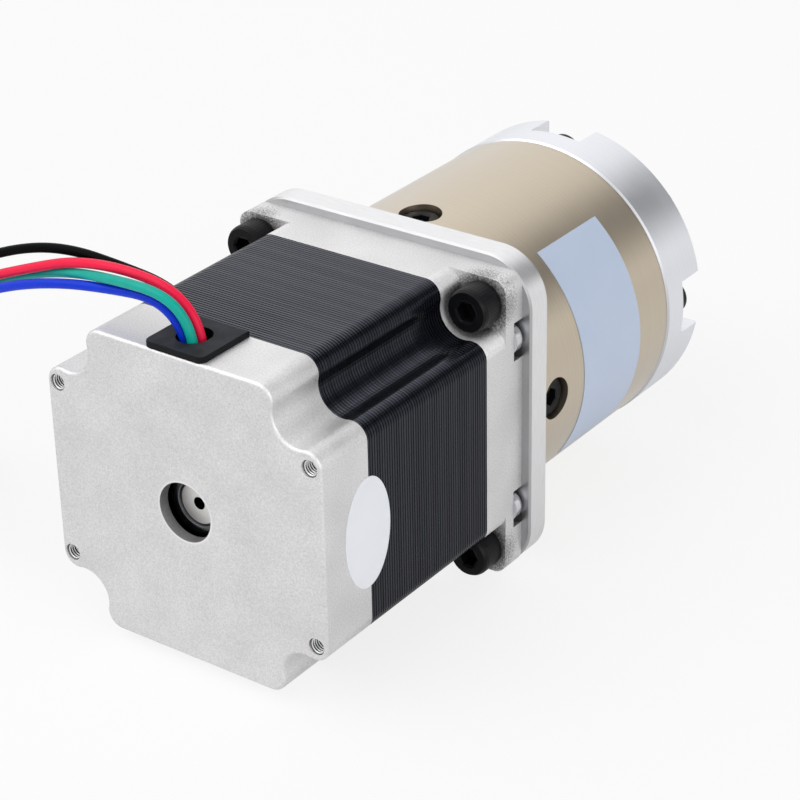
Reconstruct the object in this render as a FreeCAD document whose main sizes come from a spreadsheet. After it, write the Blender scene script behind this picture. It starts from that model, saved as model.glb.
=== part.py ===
import FreeCAD, Part
import math
import os
import Sketcher

# A stepper motor with a two stage planetary gearbox, in millimetres.
# The output axis runs along +Y, +Z is up and the origin is the centre of the gearbox's front face.

Vector = FreeCAD.Vector
AXIS = Vector(0, 1, 0)
ALONG_AXIS = FreeCAD.Rotation(Vector(1, 0, 0), -90)

SIZES = {
    # motor frame
    "body_width": 56.4,
    "bolt_inset": 4.63,
    "scallop_radius": 4.7,
    "lobe_radius": 2.9,
    "rear_cap_depth": 12.0,
    "stack_length": 33.3,
    "neck_length": 5.7,
    "flange_thickness": 5.0,
    "flange_corner_radius": 2.5,
    "pilot_radius": 19.05,
    "pilot_height": 1.6,
    "cap_edge_radius": 0.6,
    "cap_floor": 3.2,
    "end_turn_room": 4.2,
    "cavity_wall": 3.2,
    "boss_share": 0.6,
    # screws of the motor
    "screw_inset": 2.2,
    "screw_offset": 7.37,
    "screw_radius": 1.5,
    "screw_head_radius": 2.9,
    "screw_head_height": 2.3,
    "screw_recess_radius": 4.2,
    "screw_recess_depth": 2.5,
    "screw_tip_depth": 4.0,
    "bolt_radius": 2.5,
    "bolt_head_radius": 3.9,
    "bolt_head_height": 5.0,
    "bolt_reach": 4.6,
    "socket_share": 0.5,
    "hole_clearance": 0.15,
    "thread_clearance": 0.03,
    "seat_clearance": 0.03,
    # stator and rotor
    "tooth_shoe": 1.9,
    "slot_mouth": 2.0,
    "slot_depth": 5.0,
    "yoke_thickness": 6.2,
    "slot_floor_rise": 0.9,
    "slot_floor_share": 0.75,
    "tooth_tip_thickness": 1.1,
    "pole_width": 6.0,
    "insulator_thickness": 0.8,
    "insulator_gap": 0.7,
    "coil_thickness": 2.2,
    "coil_clearance": 0.25,
    "coil_lift": 0.05,
    "air_gap": 0.3,
    "rotor_tooth_depth": 0.7,
    "rotor_stack_length": 13.5,
    "magnet_thickness": 3.0,
    "magnet_inset": 2.3,
    "rotor_shaft_radius": 5.2,
    "journal_radius": 4.0,
    "shaft_chamfer": 0.35,
    "shaft_recess": 3.6,
    "centre_hole_radius": 1.05,
    "centre_hole_depth": 3.0,
    # motor bearings
    "motor_bearing_radius": 11.0,
    "motor_bearing_width": 7.0,
    "motor_ball_radius": 1.98,
    "motor_ball_pitch": 7.5,
    "window_radius": 5.3,
    "lip_thickness": 2.0,
    "spring_room": 1.2,
    "spring_thickness": 0.4,
    "front_seat_start": 1.2,
    "front_window_radius": 8.9,
    "ball_clearance": 0.05,
    "ring_wall": 1.6,
    "cage_thickness": 0.8,
    # lead grommet
    "grommet_width": 12.0,
    "grommet_height": 1.1,
    "grommet_margin": 0.1,
    "grommet_centre": -0.5,
    "grommet_corner": 1.0,
    "stem_width": 8.2,
    "stem_drop": 5.0,
    "stem_start": 1.8,
    "lead_hole_x": -0.75,
    "lead_hole_y": 5.9,
    "lead_hole_radius": 2.85,
    "lead_hole_stretch": 0.3,
    # adapter plate and gear housing
    "adapter_overhang": 1.8,
    "adapter_thickness": 5.2,
    "adapter_corner_radius": 9.0,
    "adapter_edge": 0.35,
    "adapter_bore_radius": 10.5,
    "spigot_wall": 5.6,
    "spigot_length": 10.0,
    "housing_radius": 28.5,
    "housing_length": 43.6,
    "housing_edge": 0.3,
    "spigot_room": 0.2,
    "radial_hole_place": 5.3,
    "radial_recess_radius": 3.85,
    "radial_recess_depth": 3.5,
    "radial_screw_radius": 2.0,
    "radial_head_radius": 3.5,
    "radial_head_height": 2.4,
    "radial_screw_length": 8.0,
    # gears and carriers
    "ring_rim": 8.655,
    "addendum_share": 0.8,
    "dedendum_share": 1.05,
    "tooth_backlash": 0.1,
    "washer_thickness": 0.6,
    "washer_room": 0.78,
    "axial_play": 0.3,
    "first_planet_width": 8.0,
    "carrier_room": 0.98,
    "first_carrier_thickness": 4.0,
    "output_carrier_thickness": 6.0,
    "first_pin_radius": 2.0,
    "second_pin_radius": 2.5,
    "pin_clearance": 0.04,
    "sun_stub_radius": 3.2,
    # output shaft and its bearings
    "output_radius": 6.0,
    "output_reach": 31.0,
    "output_chamfer": 0.8,
    "relief_width": 0.6,
    "relief_depth": 0.2,
    "output_shoulder_radius": 7.2,
    "output_bearing_radius": 12.0,
    "output_bearing_width": 6.0,
    "output_ball_radius": 1.58,
    "output_ball_pitch": 9.0,
    "key_width": 4.0,
    "key_length": 20.0,
    "key_depth": 2.5,
    "key_end_room": 3.5,
    "circlip_thickness": 1.0,
    "circlip_groove": 0.5,
    "circlip_radius": 7.4,
    "seal_thickness": 1.9,
    "seal_gap": 0.05,
    # front flange of the gearbox
    "front_flange_overhang": 0.25,
    "front_flange_length": 11.8,
    "front_flange_edge": 0.35,
    "front_spigot_wall": 7.0,
    "front_spigot_length": 2.2,
    "front_pilot_radius": 16.0,
    "front_pilot_height": 4.0,
    "front_lip_start": 0.6,
    "seal_seat_radius": 9.0,
    "bearing_seat_start": 0.4,
    "notch_width": 10.7,
    "notch_depth": 6.4,
    "notch_reach": 9.25,
    "flange_screw_inset": 4.5,
    "flange_screw_radius": 2.0,
    "flange_screw_head_radius": 3.5,
    "flange_screw_head_height": 4.0,
    "flange_screw_length": 14.0,
    "mount_circle_inset": 6.25,
    "mount_hole_radius": 2.1,
    "mount_hole_depth": 10.0,
    # labels
    "label_thickness": 0.12,
    "label_start": 14.6,
    "label_width": 19.0,
    "oval_height": 20.0,
    "oval_width": 11.8,
    "oval_place": 11.45,
    # leads
    "lead_level": 28.2,
    "lead_diameter": 1.7,
    "lead_pitch": 1.75,
    "coil_turns": 2.75,
    "coil_outer_turn": 12.4,
    "tie_width": 2.6,
    "tie_thickness": 0.9,
    "tip_radius": 0.5,
    "tip_length": 6.0,
}

# Whole numbers of the gear train, the bearings and the windings
RING_TEETH = 42
FIRST_SUN_TEETH = 18
FIRST_PLANET_TEETH = 12
SECOND_SUN_TEETH = 12
SECOND_PLANET_TEETH = 15
PLANETS = 3
POLES = 8
ROTOR_TEETH = 50
MOTOR_BALLS = 7
OUTPUT_BALLS = 9
PRESSURE_ANGLE = math.radians(25)
FLANK_STEPS = 6
WAVES = 3
WAVE_POINTS = 12
LABEL_LOW_ANGLE = -36.0
LABEL_HIGH_ANGLE = 50.0
TIE_ANGLE = 200.0
CORNERS = [(1, 1), (-1, 1), (-1, -1), (1, -1)]

# Shapes of the screw heads and of the spring, as shares of their own sizes
SOCKET_EDGE_SHARE = 0.1
SOCKET_DEPTH_SHARE = 0.5
PAN_EDGE_SHARE = 0.45
CROSS_ARM_SHARE = 0.3
CROSS_FLOOR_SHARE = 0.4
SPRING_SLACK_SHARE = 0.05

doc = FreeCAD.newDocument("geared_stepper")
dims = doc.addObject("Spreadsheet::Sheet", "dims")
for row, (alias, value) in enumerate(SIZES.items(), start=1):
    dims.set(f"A{row}", alias)
    dims.set(f"B{row}", str(value))
    dims.setAlias(f"B{row}", alias)
doc.recompute()

# Places across the axis that follow the width of the motor's frame
BOLT_PLACE = "(dims.body_width / 2 - dims.bolt_inset)"
SCREW_X = "(dims.body_width / 2 - dims.screw_inset)"
SCREW_Z = f"({BOLT_PLACE} - dims.screw_offset)"
CAVITY_RADIUS = "(dims.body_width / 2 - dims.cavity_wall)"
INSULATOR_RADIUS = f"({CAVITY_RADIUS} - dims.insulator_gap)"
SLOT_OUTER_RADIUS = "(dims.body_width / 2 - dims.yoke_thickness)"
SLOT_BOTTOM_RADIUS = f"({SLOT_OUTER_RADIUS} + dims.slot_floor_rise)"
SLOT_INNER_RADIUS = f"({SLOT_OUTER_RADIUS} - dims.slot_depth)"
STATOR_BORE_RADIUS = f"({SLOT_INNER_RADIUS} - dims.tooth_shoe)"
BOSS_RADIUS = (f"(dims.motor_bearing_radius * (1 - dims.boss_share)"
               f" + {STATOR_BORE_RADIUS} * dims.boss_share)")
ROTOR_RADIUS = f"({STATOR_BORE_RADIUS} - dims.air_gap)"
MAGNET_RADIUS = f"({ROTOR_RADIUS} - dims.magnet_inset)"
ADAPTER_WIDTH = "(dims.body_width + 2 * dims.adapter_overhang)"
LEAD_RISE = "(dims.body_width / 2 - dims.lead_level)"

# Places across the axis that follow the radius of the gear housing
SPIGOT_RADIUS = "(dims.housing_radius - dims.spigot_wall)"
RECESS_FLOOR = "(dims.housing_radius - dims.radial_recess_depth)"
FRONT_SPIGOT_RADIUS = "(dims.housing_radius - dims.front_spigot_wall)"
FLANGE_SCREW_CIRCLE = "(dims.housing_radius - dims.flange_screw_inset)"
FRONT_FLANGE_RADIUS = "(dims.housing_radius + dims.front_flange_overhang)"
NOTCH_FLOOR_RADIUS = f"({FRONT_FLANGE_RADIUS} - dims.notch_reach)"
MOUNT_CIRCLE_RADIUS = f"({FRONT_FLANGE_RADIUS} - dims.mount_circle_inset)"
GEAR_MODULE = f"((dims.housing_radius - dims.ring_rim) / ({RING_TEETH / 2} + dims.dedendum_share))"
ADDENDUM = f"(dims.addendum_share * {GEAR_MODULE})"
DEDENDUM = f"(dims.dedendum_share * {GEAR_MODULE})"
RING_TIP_RADIUS = f"({RING_TEETH / 2} * {GEAR_MODULE} - {ADDENDUM})"
CARRIER_RADIUS = f"({RING_TIP_RADIUS} - dims.carrier_room)"
WASHER_RADIUS = f"({RING_TIP_RADIUS} - dims.washer_room)"

# The second planets take the length of the housing that the other pieces inside it leave
SECOND_PLANET_WIDTH = ("(dims.housing_length - dims.spigot_length - dims.front_spigot_length"
                       " - dims.washer_thickness - dims.first_planet_width - dims.first_carrier_thickness"
                       " - dims.output_carrier_thickness - 6 * dims.axial_play)")

# Stations along the axis: each names the rear end of a piece or group
FLANGE_REAR = "(-dims.front_flange_length)"
HOUSING_REAR = f"({FLANGE_REAR} - dims.housing_length)"
ADAPTER_REAR = f"({HOUSING_REAR} - dims.adapter_thickness)"
NECK_REAR = f"({ADAPTER_REAR} - dims.flange_thickness - dims.neck_length)"
STACK_REAR = f"({NECK_REAR} - dims.stack_length)"
REAR = f"({STACK_REAR} - dims.rear_cap_depth)"
REAR_BEARING = f"({REAR} + dims.lip_thickness + dims.spring_room)"
FRONT_BEARING = f"({NECK_REAR} + dims.front_seat_start)"
SPIGOT_END = f"({HOUSING_REAR} + dims.spigot_length)"
FIRST_STAGE = f"({SPIGOT_END} + dims.washer_thickness + dims.axial_play)"
FIRST_CARRIER = f"({FIRST_STAGE} + dims.first_planet_width + dims.axial_play)"
SECOND_STAGE = f"({FIRST_CARRIER} + dims.first_carrier_thickness + dims.axial_play)"
OUTPUT_CARRIER = f"({SECOND_STAGE} + {SECOND_PLANET_WIDTH} + dims.axial_play)"
OUTPUT_BEARING = f"({FLANGE_REAR} + dims.bearing_seat_start)"
OUTPUT_BEARING_FRONT = f"({OUTPUT_BEARING} + dims.output_bearing_width)"
CIRCLIP = f"({OUTPUT_BEARING_FRONT} + dims.output_bearing_width)"

nodes = []


def number(expression):
    """The value of an expression of sheet cells."""
    return float(dims.evalExpression(expression))


def keep(piece, label):
    """Marks a document object as a finished piece with its own file."""
    piece.Label = label
    nodes.append(piece)
    return piece


def body(label, station):
    """A body whose own rear end stands at a station along the axis."""
    owner = doc.addObject("PartDesign::Body", label)
    owner.setExpression("Placement.Base.y", station)
    return keep(owner, label)


def sketch(owner, name, role, offset="0"):
    """A sketch on one of the body's own planes, moved along that plane's normal."""
    flat = owner.newObject("Sketcher::SketchObject", name)
    plane = next(item for item in owner.Origin.OriginFeatures if item.Role == role)
    flat.AttachmentSupport = [(plane, "")]
    flat.MapMode = "FlatFace"
    flat.setExpression("AttachmentOffset.Base.z", offset)
    return flat


def cross_sketch(owner, name, start="0"):
    """A sketch across the axis, at a distance in front of the body's rear end."""
    return sketch(owner, name, "XZ_Plane", f"-({start})")


def hold(flat, geometry, point, x, y):
    """Ties one point of a sketch to expressions for its two places."""
    for kind, axis_line, expression in (("DistanceX", -2, x), ("DistanceY", -1, y)):
        if expression == "0":
            flat.addConstraint(Sketcher.Constraint("PointOnObject", geometry, point, axis_line))
            continue
        index = flat.addConstraint(
            Sketcher.Constraint(kind, -1, 1, geometry, point, number(expression)))
        flat.setExpression(f"Constraints[{index}]", expression)


def bind_radius(flat, geometry, expression):
    """Ties the radius of a circle or an arc to an expression."""
    index = flat.addConstraint(Sketcher.Constraint("Radius", geometry, number(expression)))
    flat.setExpression(f"Constraints[{index}]", expression)


def outline(flat, corners, arcs=None):
    """A closed outline through corners given as pairs of expressions, anticlockwise.

    The sides named in arcs are round: an expression for the radius, and whether they bulge outwards.
    """
    places = [Vector(number(x), number(y), 0) for x, y in corners]
    count = len(corners)
    ends = []
    for i in range(count):
        start, end = places[i], places[(i + 1) % count]
        if not arcs or i not in arcs:
            flat.addGeometry(Part.LineSegment(start, end))
            ends.append((1, 2))
            continue
        radius, outwards = arcs[i]
        ends.append((1, 2) if outwards else (2, 1))
        if not outwards:
            start, end = end, start
        flat.addGeometry(short_arc(start, end, number(radius)))
    for i, (x, y) in enumerate(corners):
        before = i - 1 if i else count - 1
        flat.addConstraint(Sketcher.Constraint("Coincident", before, ends[before][1], i, ends[i][0]))
        hold(flat, i, ends[i][0], x, y)
    for i, (radius, _) in (arcs or {}).items():
        bind_radius(flat, i, radius)


def short_arc(start, end, radius):
    """The anticlockwise arc of less than half a turn between two points."""
    chord = end - start
    left = Vector(-chord.y, chord.x, 0).normalize()
    centre = (start + end) * 0.5 + left * math.sqrt(radius ** 2 - (chord.Length / 2) ** 2)
    first = math.atan2(start.y - centre.y, start.x - centre.x)
    last = math.atan2(end.y - centre.y, end.x - centre.x)
    return Part.ArcOfCircle(Part.Circle(centre, Vector(0, 0, 1), radius), first, last)


def circles(flat, rounds):
    """Circles given as expressions for the two places of the centre and the radius."""
    for x, y, radius in rounds:
        centre = Vector(number(x), number(y), 0)
        index = flat.addGeometry(Part.Circle(centre, Vector(0, 0, 1), number(radius)))
        hold(flat, index, 3, x, y)
        bind_radius(flat, index, radius)


def quarter_turned(corner, turn):
    """A pair of expressions turned about the axis by a number of quarter turns."""
    x, y = corner
    for _ in range(turn):
        x, y = f"(-{y})", x
    return x, y


def scalloped_outline(flat):
    """The motor's square outline with a scallop for a bolt at each corner, blended into the sides."""
    half = "(dims.body_width / 2)"
    bolt = BOLT_PLACE
    lobe_x = f"({half} - dims.lobe_radius)"
    blend = "(dims.scallop_radius + dims.lobe_radius)"
    lobe_y = f"({bolt} - sqrt({blend} ^ 2 - ({lobe_x} - {bolt}) ^ 2))"
    blend_x = f"({bolt} + ({lobe_x} - {bolt}) * dims.scallop_radius / {blend})"
    blend_y = f"({bolt} + ({lobe_y} - {bolt}) * dims.scallop_radius / {blend})"
    quarter = [(half, lobe_y), (blend_x, blend_y), (blend_y, blend_x), (lobe_y, half)]
    corners = []
    arcs = {}
    for turn in range(4):
        index = len(corners)
        corners += [quarter_turned(corner, turn) for corner in quarter]
        arcs[index] = ("dims.lobe_radius", True)
        arcs[index + 1] = ("dims.scallop_radius", False)
        arcs[index + 2] = ("dims.lobe_radius", True)
    outline(flat, corners, arcs)


def rounded_square(flat, width, radius):
    """A square outline about the axis with round corners."""
    half = f"({width} / 2)"
    flat_end = f"({half} - {radius})"
    corners = []
    arcs = {}
    for turn in range(4):
        arcs[len(corners)] = (radius, True)
        corners += [quarter_turned(corner, turn) for corner in ((half, flat_end), (flat_end, half))]
    outline(flat, corners, arcs)


def pad(owner, name, flat, length, forward=True):
    """Grows a sketch; a cross sketch grows towards the output when forward."""
    feature = owner.newObject("PartDesign::Pad", name)
    feature.Profile = flat
    feature.Reversed = forward
    feature.setExpression("Length", length)
    return feature


def pocket(owner, name, flat, length, reverse=False):
    """Cuts a sketch; a cross sketch cuts towards the output unless reversed."""
    feature = owner.newObject("PartDesign::Pocket", name)
    feature.Profile = flat
    feature.Reversed = reverse
    feature.setExpression("Length", length)
    return feature


def through(owner, name, flat):
    """Cuts a sketch right through the body, both ways."""
    feature = owner.newObject("PartDesign::Pocket", name)
    feature.Profile = flat
    feature.Type = "ThroughAll"
    feature.Midplane = True
    return feature


def bore(owner, name, start, depth, rounds):
    """Round holes along the axis from a start for a depth."""
    flat = cross_sketch(owner, f"{name}_outline", start)
    circles(flat, rounds)
    return pocket(owner, name, flat, depth)


def around(owner, name, features, count):
    """Repeats features about the output axis."""
    pattern = owner.newObject("PartDesign::PolarPattern", name)
    pattern.Originals = features
    axis = next(item for item in owner.Origin.OriginFeatures if item.Role == "Y_Axis")
    pattern.Axis = (axis, [""])
    pattern.Angle = 360
    pattern.Occurrences = count
    owner.Tip = pattern
    return pattern


def turned(label, station, section):
    """A piece turned about the axis from an outline of radius and length."""
    owner = body(label, station)
    flat = sketch(owner, f"{label}_outline", "XY_Plane")
    outline(flat, section)
    feature = owner.newObject("PartDesign::Revolution", f"{label}_turning")
    feature.Profile = flat
    feature.ReferenceAxis = (flat, ["V_Axis"])
    feature.Angle = 360
    return owner


def four_rounds(x, z, radius):
    """Four circles at the four mirrored places."""
    return [(f"{right} * {x}", f"{up} * {z}", radius) for right, up in CORNERS]


def shaped(label, shape, station="0"):
    """A piece whose shape is worked out from the sheet, put at a station along the axis."""
    piece = doc.addObject("Part::Feature", label)
    piece.Shape = shape
    piece.setExpression("Placement.Base.y", station)
    return keep(piece, label)


def rod(radius, length, start=0.0):
    """A cylinder along the axis."""
    return Part.makeCylinder(radius, length, Vector(0, start, 0), AXIS)


def tube(outer, inner, length, start=0.0):
    """A ring along the axis."""
    return rod(outer, length, start).cut(rod(inner, length, start))


def turned_to(shape, degrees):
    """A copy of a shape turned about the output axis."""
    copy = shape.copy()
    copy.rotate(Vector(0, 0, 0), AXIS, degrees)
    return copy


def moved(shape, x, y, z):
    """A copy of a shape, moved."""
    copy = shape.copy()
    copy.translate(Vector(x, y, z))
    return copy


def across(radius, angle):
    """A point across the output axis, by its distance and its angle."""
    return Vector(radius * math.cos(angle), 0, radius * math.sin(angle))


# Motor frame
def rear_end_cap():
    """Die cast cup that holds the rear bearing, with the tapped holes of the long screws."""
    owner = body("rear_end_cap", REAR)
    border = cross_sketch(owner, "rear_cap_outline")
    scalloped_outline(border)
    block = pad(owner, "rear_cap_block", border, "dims.rear_cap_depth")
    doc.recompute()
    rim = [
        f"Edge{index}" for index, edge in enumerate(block.Shape.Edges, start=1)
        if edge.BoundBox.YMax < number("dims.rear_cap_depth / 2")
    ]
    soft = owner.newObject("PartDesign::Fillet", "rear_cap_soft_edge")
    soft.Base = (block, rim)
    soft.setExpression("Radius", "dims.cap_edge_radius")
    bore(owner, "rear_window", "0", "dims.rear_cap_depth", [("0", "0", "dims.window_radius")])
    bore(owner, "rear_bearing_seat", "dims.lip_thickness", "dims.rear_cap_depth - dims.lip_thickness",
         [("0", "0", "dims.motor_bearing_radius + dims.seat_clearance")])
    bore(owner, "rear_cavity", "dims.cap_floor", "dims.rear_cap_depth - dims.cap_floor",
         [("0", "0", CAVITY_RADIUS), ("0", "0", BOSS_RADIUS)])
    bore(owner, "rear_screw_holes", "0", "dims.rear_cap_depth",
         four_rounds(SCREW_X, SCREW_Z, "(dims.screw_radius + dims.thread_clearance)"))
    slot = cross_sketch(owner, "lead_slot_outline", "dims.stem_start")
    left = "(dims.grommet_centre - dims.stem_width / 2 - dims.hole_clearance)"
    right = "(dims.grommet_centre + dims.stem_width / 2 + dims.hole_clearance)"
    low = "(dims.body_width / 2 - dims.stem_drop - dims.hole_clearance)"
    high = "(dims.body_width / 2 + dims.grommet_height)"
    outline(slot, [(left, low), (right, low), (right, high), (left, high)])
    pocket(owner, "lead_slot", slot, "dims.rear_cap_depth - dims.stem_start")


def lead_grommet():
    """Moulded plate on the top of the rear cap, with a stem through its wall and one hole for the leads."""
    owner = body("lead_grommet", REAR)
    plate = sketch(owner, "grommet_plate_outline", "XY_Plane", "dims.body_width / 2")
    left = "(dims.grommet_centre - dims.grommet_width / 2)"
    right = "(dims.grommet_centre + dims.grommet_width / 2)"
    rear = "dims.grommet_margin"
    front = "(dims.rear_cap_depth - dims.grommet_margin)"
    outline(plate, [
        (f"({left} + dims.grommet_corner)", rear), (f"({right} - dims.grommet_corner)", rear),
        (right, f"({rear} + dims.grommet_corner)"), (right, front), (left, front),
        (left, f"({rear} + dims.grommet_corner)"),
    ])
    pad(owner, "grommet_plate", plate, "dims.grommet_height", False)
    stem = sketch(owner, "grommet_stem_outline", "XY_Plane", "dims.body_width / 2")
    left = "(dims.grommet_centre - dims.stem_width / 2)"
    right = "(dims.grommet_centre + dims.stem_width / 2)"
    rear = "(dims.stem_start + dims.hole_clearance)"
    front = "(dims.rear_cap_depth - dims.insulator_thickness - dims.axial_play)"
    outline(stem, [(left, rear), (right, rear), (right, front), (left, front)])
    pad(owner, "grommet_stem", stem, "dims.stem_drop", True)
    for end, sign in (("rear", "-"), ("front", "+")):
        hole = sketch(owner, f"lead_hole_{end}_outline", "XY_Plane", "dims.body_width / 2")
        place = f"(dims.lead_hole_y {sign} dims.lead_hole_stretch)"
        circles(hole, [("dims.lead_hole_x", place, "dims.lead_hole_radius")])
        through(owner, f"lead_hole_{end}", hole)


def stator_openings(owner, label, length):
    """The round bore and the winding slots between the poles."""
    bore(owner, f"{label}_bore", "0", length, [("0", "0", STATOR_BORE_RADIUS)])
    half_pole = f"{180 / POLES} deg"
    mouth = "(dims.slot_mouth / 2)"
    side = []
    for radius in (SLOT_INNER_RADIUS, SLOT_OUTER_RADIUS):
        side.append((f"({radius} * sin({half_pole}) - dims.pole_width / 2 * cos({half_pole}))",
                     f"({radius} * cos({half_pole}) + dims.pole_width / 2 * sin({half_pole}))"))
    bottom = SLOT_BOTTOM_RADIUS
    start = f"({STATOR_BORE_RADIUS} - dims.slot_mouth / 2)"
    shoe = f"({STATOR_BORE_RADIUS} + dims.tooth_tip_thickness)"
    corner = f"({side[1][0]} * dims.slot_floor_share)"
    right = [(mouth, start), (mouth, shoe), side[0], side[1], (corner, bottom)]
    left = [(f"(-{x})", z) for x, z in reversed(right)]
    slot = cross_sketch(owner, f"{label}_slot_outline")
    outline(slot, right + left)
    cut = pocket(owner, f"{label}_slot", slot, length)
    doc.recompute()
    around(owner, f"{label}_slots", [cut], POLES)


def stator_stack():
    """Black laminated core with the motor's outline, eight poles and holes for the long screws."""
    owner = body("stator_stack", STACK_REAR)
    border = cross_sketch(owner, "stack_outline")
    scalloped_outline(border)
    pad(owner, "stack_block", border, "dims.stack_length")
    bore(owner, "stack_screw_holes", "0", "dims.stack_length",
         four_rounds(SCREW_X, SCREW_Z, "(dims.screw_radius + dims.hole_clearance)"))
    stator_openings(owner, "stack", "dims.stack_length")


def end_insulators():
    """Moulded end plates that keep the windings off the core."""
    places = {
        "rear_insulator": f"({STACK_REAR} - dims.insulator_thickness)",
        "front_insulator": NECK_REAR,
    }
    for label, station in places.items():
        owner = body(label, station)
        border = cross_sketch(owner, f"{label}_outline")
        circles(border, [("0", "0", INSULATOR_RADIUS)])
        pad(owner, f"{label}_plate", border, "dims.insulator_thickness")
        stator_openings(owner, label, "dims.insulator_thickness")


def phase_windings():
    """Eight copper coils, one round each pole."""
    pole = number("dims.pole_width / 2 + dims.coil_clearance")
    wall = number("dims.coil_thickness")
    inner = number(f"{SLOT_INNER_RADIUS} + dims.coil_clearance")
    outer = number(f"{SLOT_OUTER_RADIUS} - dims.coil_clearance")
    reach = number("dims.insulator_thickness + dims.coil_lift")
    length = number("dims.stack_length")
    turn_box = Part.makeBox(2 * (pole + wall), length + 2 * (reach + wall), outer - inner,
                            Vector(-pole - wall, -reach - wall, inner))
    turn_box = turn_box.makeFillet(wall / 2, [e for e in turn_box.Edges if abs(e.tangentAt(0).z) > 0.9])
    opening = Part.makeBox(2 * pole, length + 2 * reach, outer - inner, Vector(-pole, -reach, inner))
    coil = turn_box.cut(opening)
    coils = [turned_to(coil, (k + 0.5) * 360 / POLES) for k in range(POLES)]
    shaped("phase_windings", Part.makeCompound(coils), STACK_REAR)


def front_end_cap():
    """Die cast cap with the square mounting flange, the front bearing seat and a round pilot."""
    owner = body("front_end_cap", NECK_REAR)
    border = cross_sketch(owner, "neck_outline")
    scalloped_outline(border)
    pad(owner, "neck", border, "dims.neck_length")
    flange = cross_sketch(owner, "flange_outline", "dims.neck_length")
    rounded_square(flange, "dims.body_width", "dims.flange_corner_radius")
    pad(owner, "flange", flange, "dims.flange_thickness")
    face = "(dims.neck_length + dims.flange_thickness)"
    pilot = cross_sketch(owner, "pilot_outline", face)
    circles(pilot, [("0", "0", "dims.pilot_radius")])
    pad(owner, "pilot", pilot, "dims.pilot_height")
    whole = f"({face} + dims.pilot_height)"
    bore(owner, "front_cavity", "0", "dims.end_turn_room",
         [("0", "0", CAVITY_RADIUS), ("0", "0", BOSS_RADIUS)])
    bore(owner, "front_bearing_seat", "0", "dims.front_seat_start + dims.motor_bearing_width",
         [("0", "0", "dims.motor_bearing_radius + dims.seat_clearance")])
    bore(owner, "front_window", "0", whole, [("0", "0", "dims.front_window_radius")])
    bore(owner, "flange_bolt_holes", "dims.neck_length", "dims.flange_thickness",
         four_rounds(BOLT_PLACE, BOLT_PLACE, "(dims.bolt_radius + dims.hole_clearance)"))
    bore(owner, "front_screw_holes", "0", face,
         four_rounds(SCREW_X, SCREW_Z, "(dims.screw_radius + dims.hole_clearance)"))
    bore(owner, "front_screw_recesses", f"({face} - dims.screw_recess_depth)", "dims.screw_recess_depth",
         four_rounds(SCREW_X, SCREW_Z, "dims.screw_recess_radius"))


def cap_screw(head_radius, head_height, shank_radius, shank_length):
    """A socket screw along the axis: the head behind y = 0 and the shank in front."""
    head = rod(head_radius, head_height, -head_height)
    top = [edge for edge in head.Edges if edge.BoundBox.YMax < -head_height / 2]
    head = head.makeFillet(head_height * SOCKET_EDGE_SHARE, top)
    key_radius = head_radius * number("dims.socket_share")
    key_points = [across(key_radius, k * math.pi / 3) - AXIS * head_height for k in range(7)]
    key_hole = Part.Face(Part.makePolygon(key_points)).extrude(AXIS * head_height * SOCKET_DEPTH_SHARE)
    return head.fuse(rod(shank_radius, shank_length)).cut(key_hole).removeSplitter()


def pan_screw(head_radius, head_height, shank_radius, shank_length):
    """A round headed screw with a cross recess, the head in front of y = 0 and the shank behind."""
    head = rod(head_radius, head_height)
    top = [edge for edge in head.Edges if edge.BoundBox.YMin > head_height / 2]
    head = head.makeFillet(head_height * PAN_EDGE_SHARE, top)
    arm = head_radius * CROSS_ARM_SHARE
    floor = Vector(-2 * arm, head_height * CROSS_FLOOR_SHARE, -arm / 2)
    recess = Part.makeBox(4 * arm, head_height, arm, floor)
    recess = recess.fuse(turned_to(recess, 90))
    return head.fuse(rod(shank_radius, shank_length, -shank_length)).cut(recess).removeSplitter()


def through_screws():
    """Four long bright screws from the flange through the core into the rear cap."""
    length = number("dims.flange_thickness - dims.screw_recess_depth + dims.neck_length "
                    "+ dims.stack_length + dims.rear_cap_depth - dims.screw_tip_depth")
    screw = pan_screw(number("dims.screw_head_radius"), number("dims.screw_head_height"),
                      number("dims.screw_radius"), length)
    x = number(SCREW_X)
    z = number(SCREW_Z)
    screws = [moved(screw, right * x, 0, up * z) for right, up in CORNERS]
    shaped("through_screws", Part.makeCompound(screws), f"({ADAPTER_REAR} - dims.screw_recess_depth)")


def flange_bolts():
    """Four black socket screws from the back of the flange into the adapter plate."""
    bolt = cap_screw(number("dims.bolt_head_radius"), number("dims.bolt_head_height"),
                     number("dims.bolt_radius"), number("dims.flange_thickness + dims.bolt_reach"))
    half = number(BOLT_PLACE)
    bolts = [moved(bolt, right * half, 0, up * half) for right, up in CORNERS]
    shaped("flange_bolts", Part.makeCompound(bolts), f"({ADAPTER_REAR} - dims.flange_thickness)")


# Rotor and motor bearings
def motor_shaft():
    """Ground steel shaft with a thicker middle, two journals and a centre hole at its rear end."""
    start = f"({REAR} + dims.shaft_recess)"
    rear_step = f"({REAR_BEARING} + dims.motor_bearing_width - {start})"
    front_step = f"({FRONT_BEARING} - {start})"
    end = f"({FIRST_CARRIER} - dims.axial_play - {start})"
    turned("motor_shaft", start, [
        ("dims.centre_hole_radius", "0"),
        ("(dims.journal_radius - dims.shaft_chamfer)", "0"),
        ("dims.journal_radius", "dims.shaft_chamfer"),
        ("dims.journal_radius", rear_step),
        ("dims.rotor_shaft_radius", rear_step),
        ("dims.rotor_shaft_radius", front_step),
        ("dims.journal_radius", front_step),
        ("dims.journal_radius", f"({end} - dims.shaft_chamfer)"),
        ("(dims.journal_radius - dims.shaft_chamfer)", end),
        ("0", end),
        ("0", "(dims.centre_hole_depth + dims.centre_hole_radius / 2)"),
        ("dims.centre_hole_radius", "dims.centre_hole_depth"),
    ])


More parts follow.
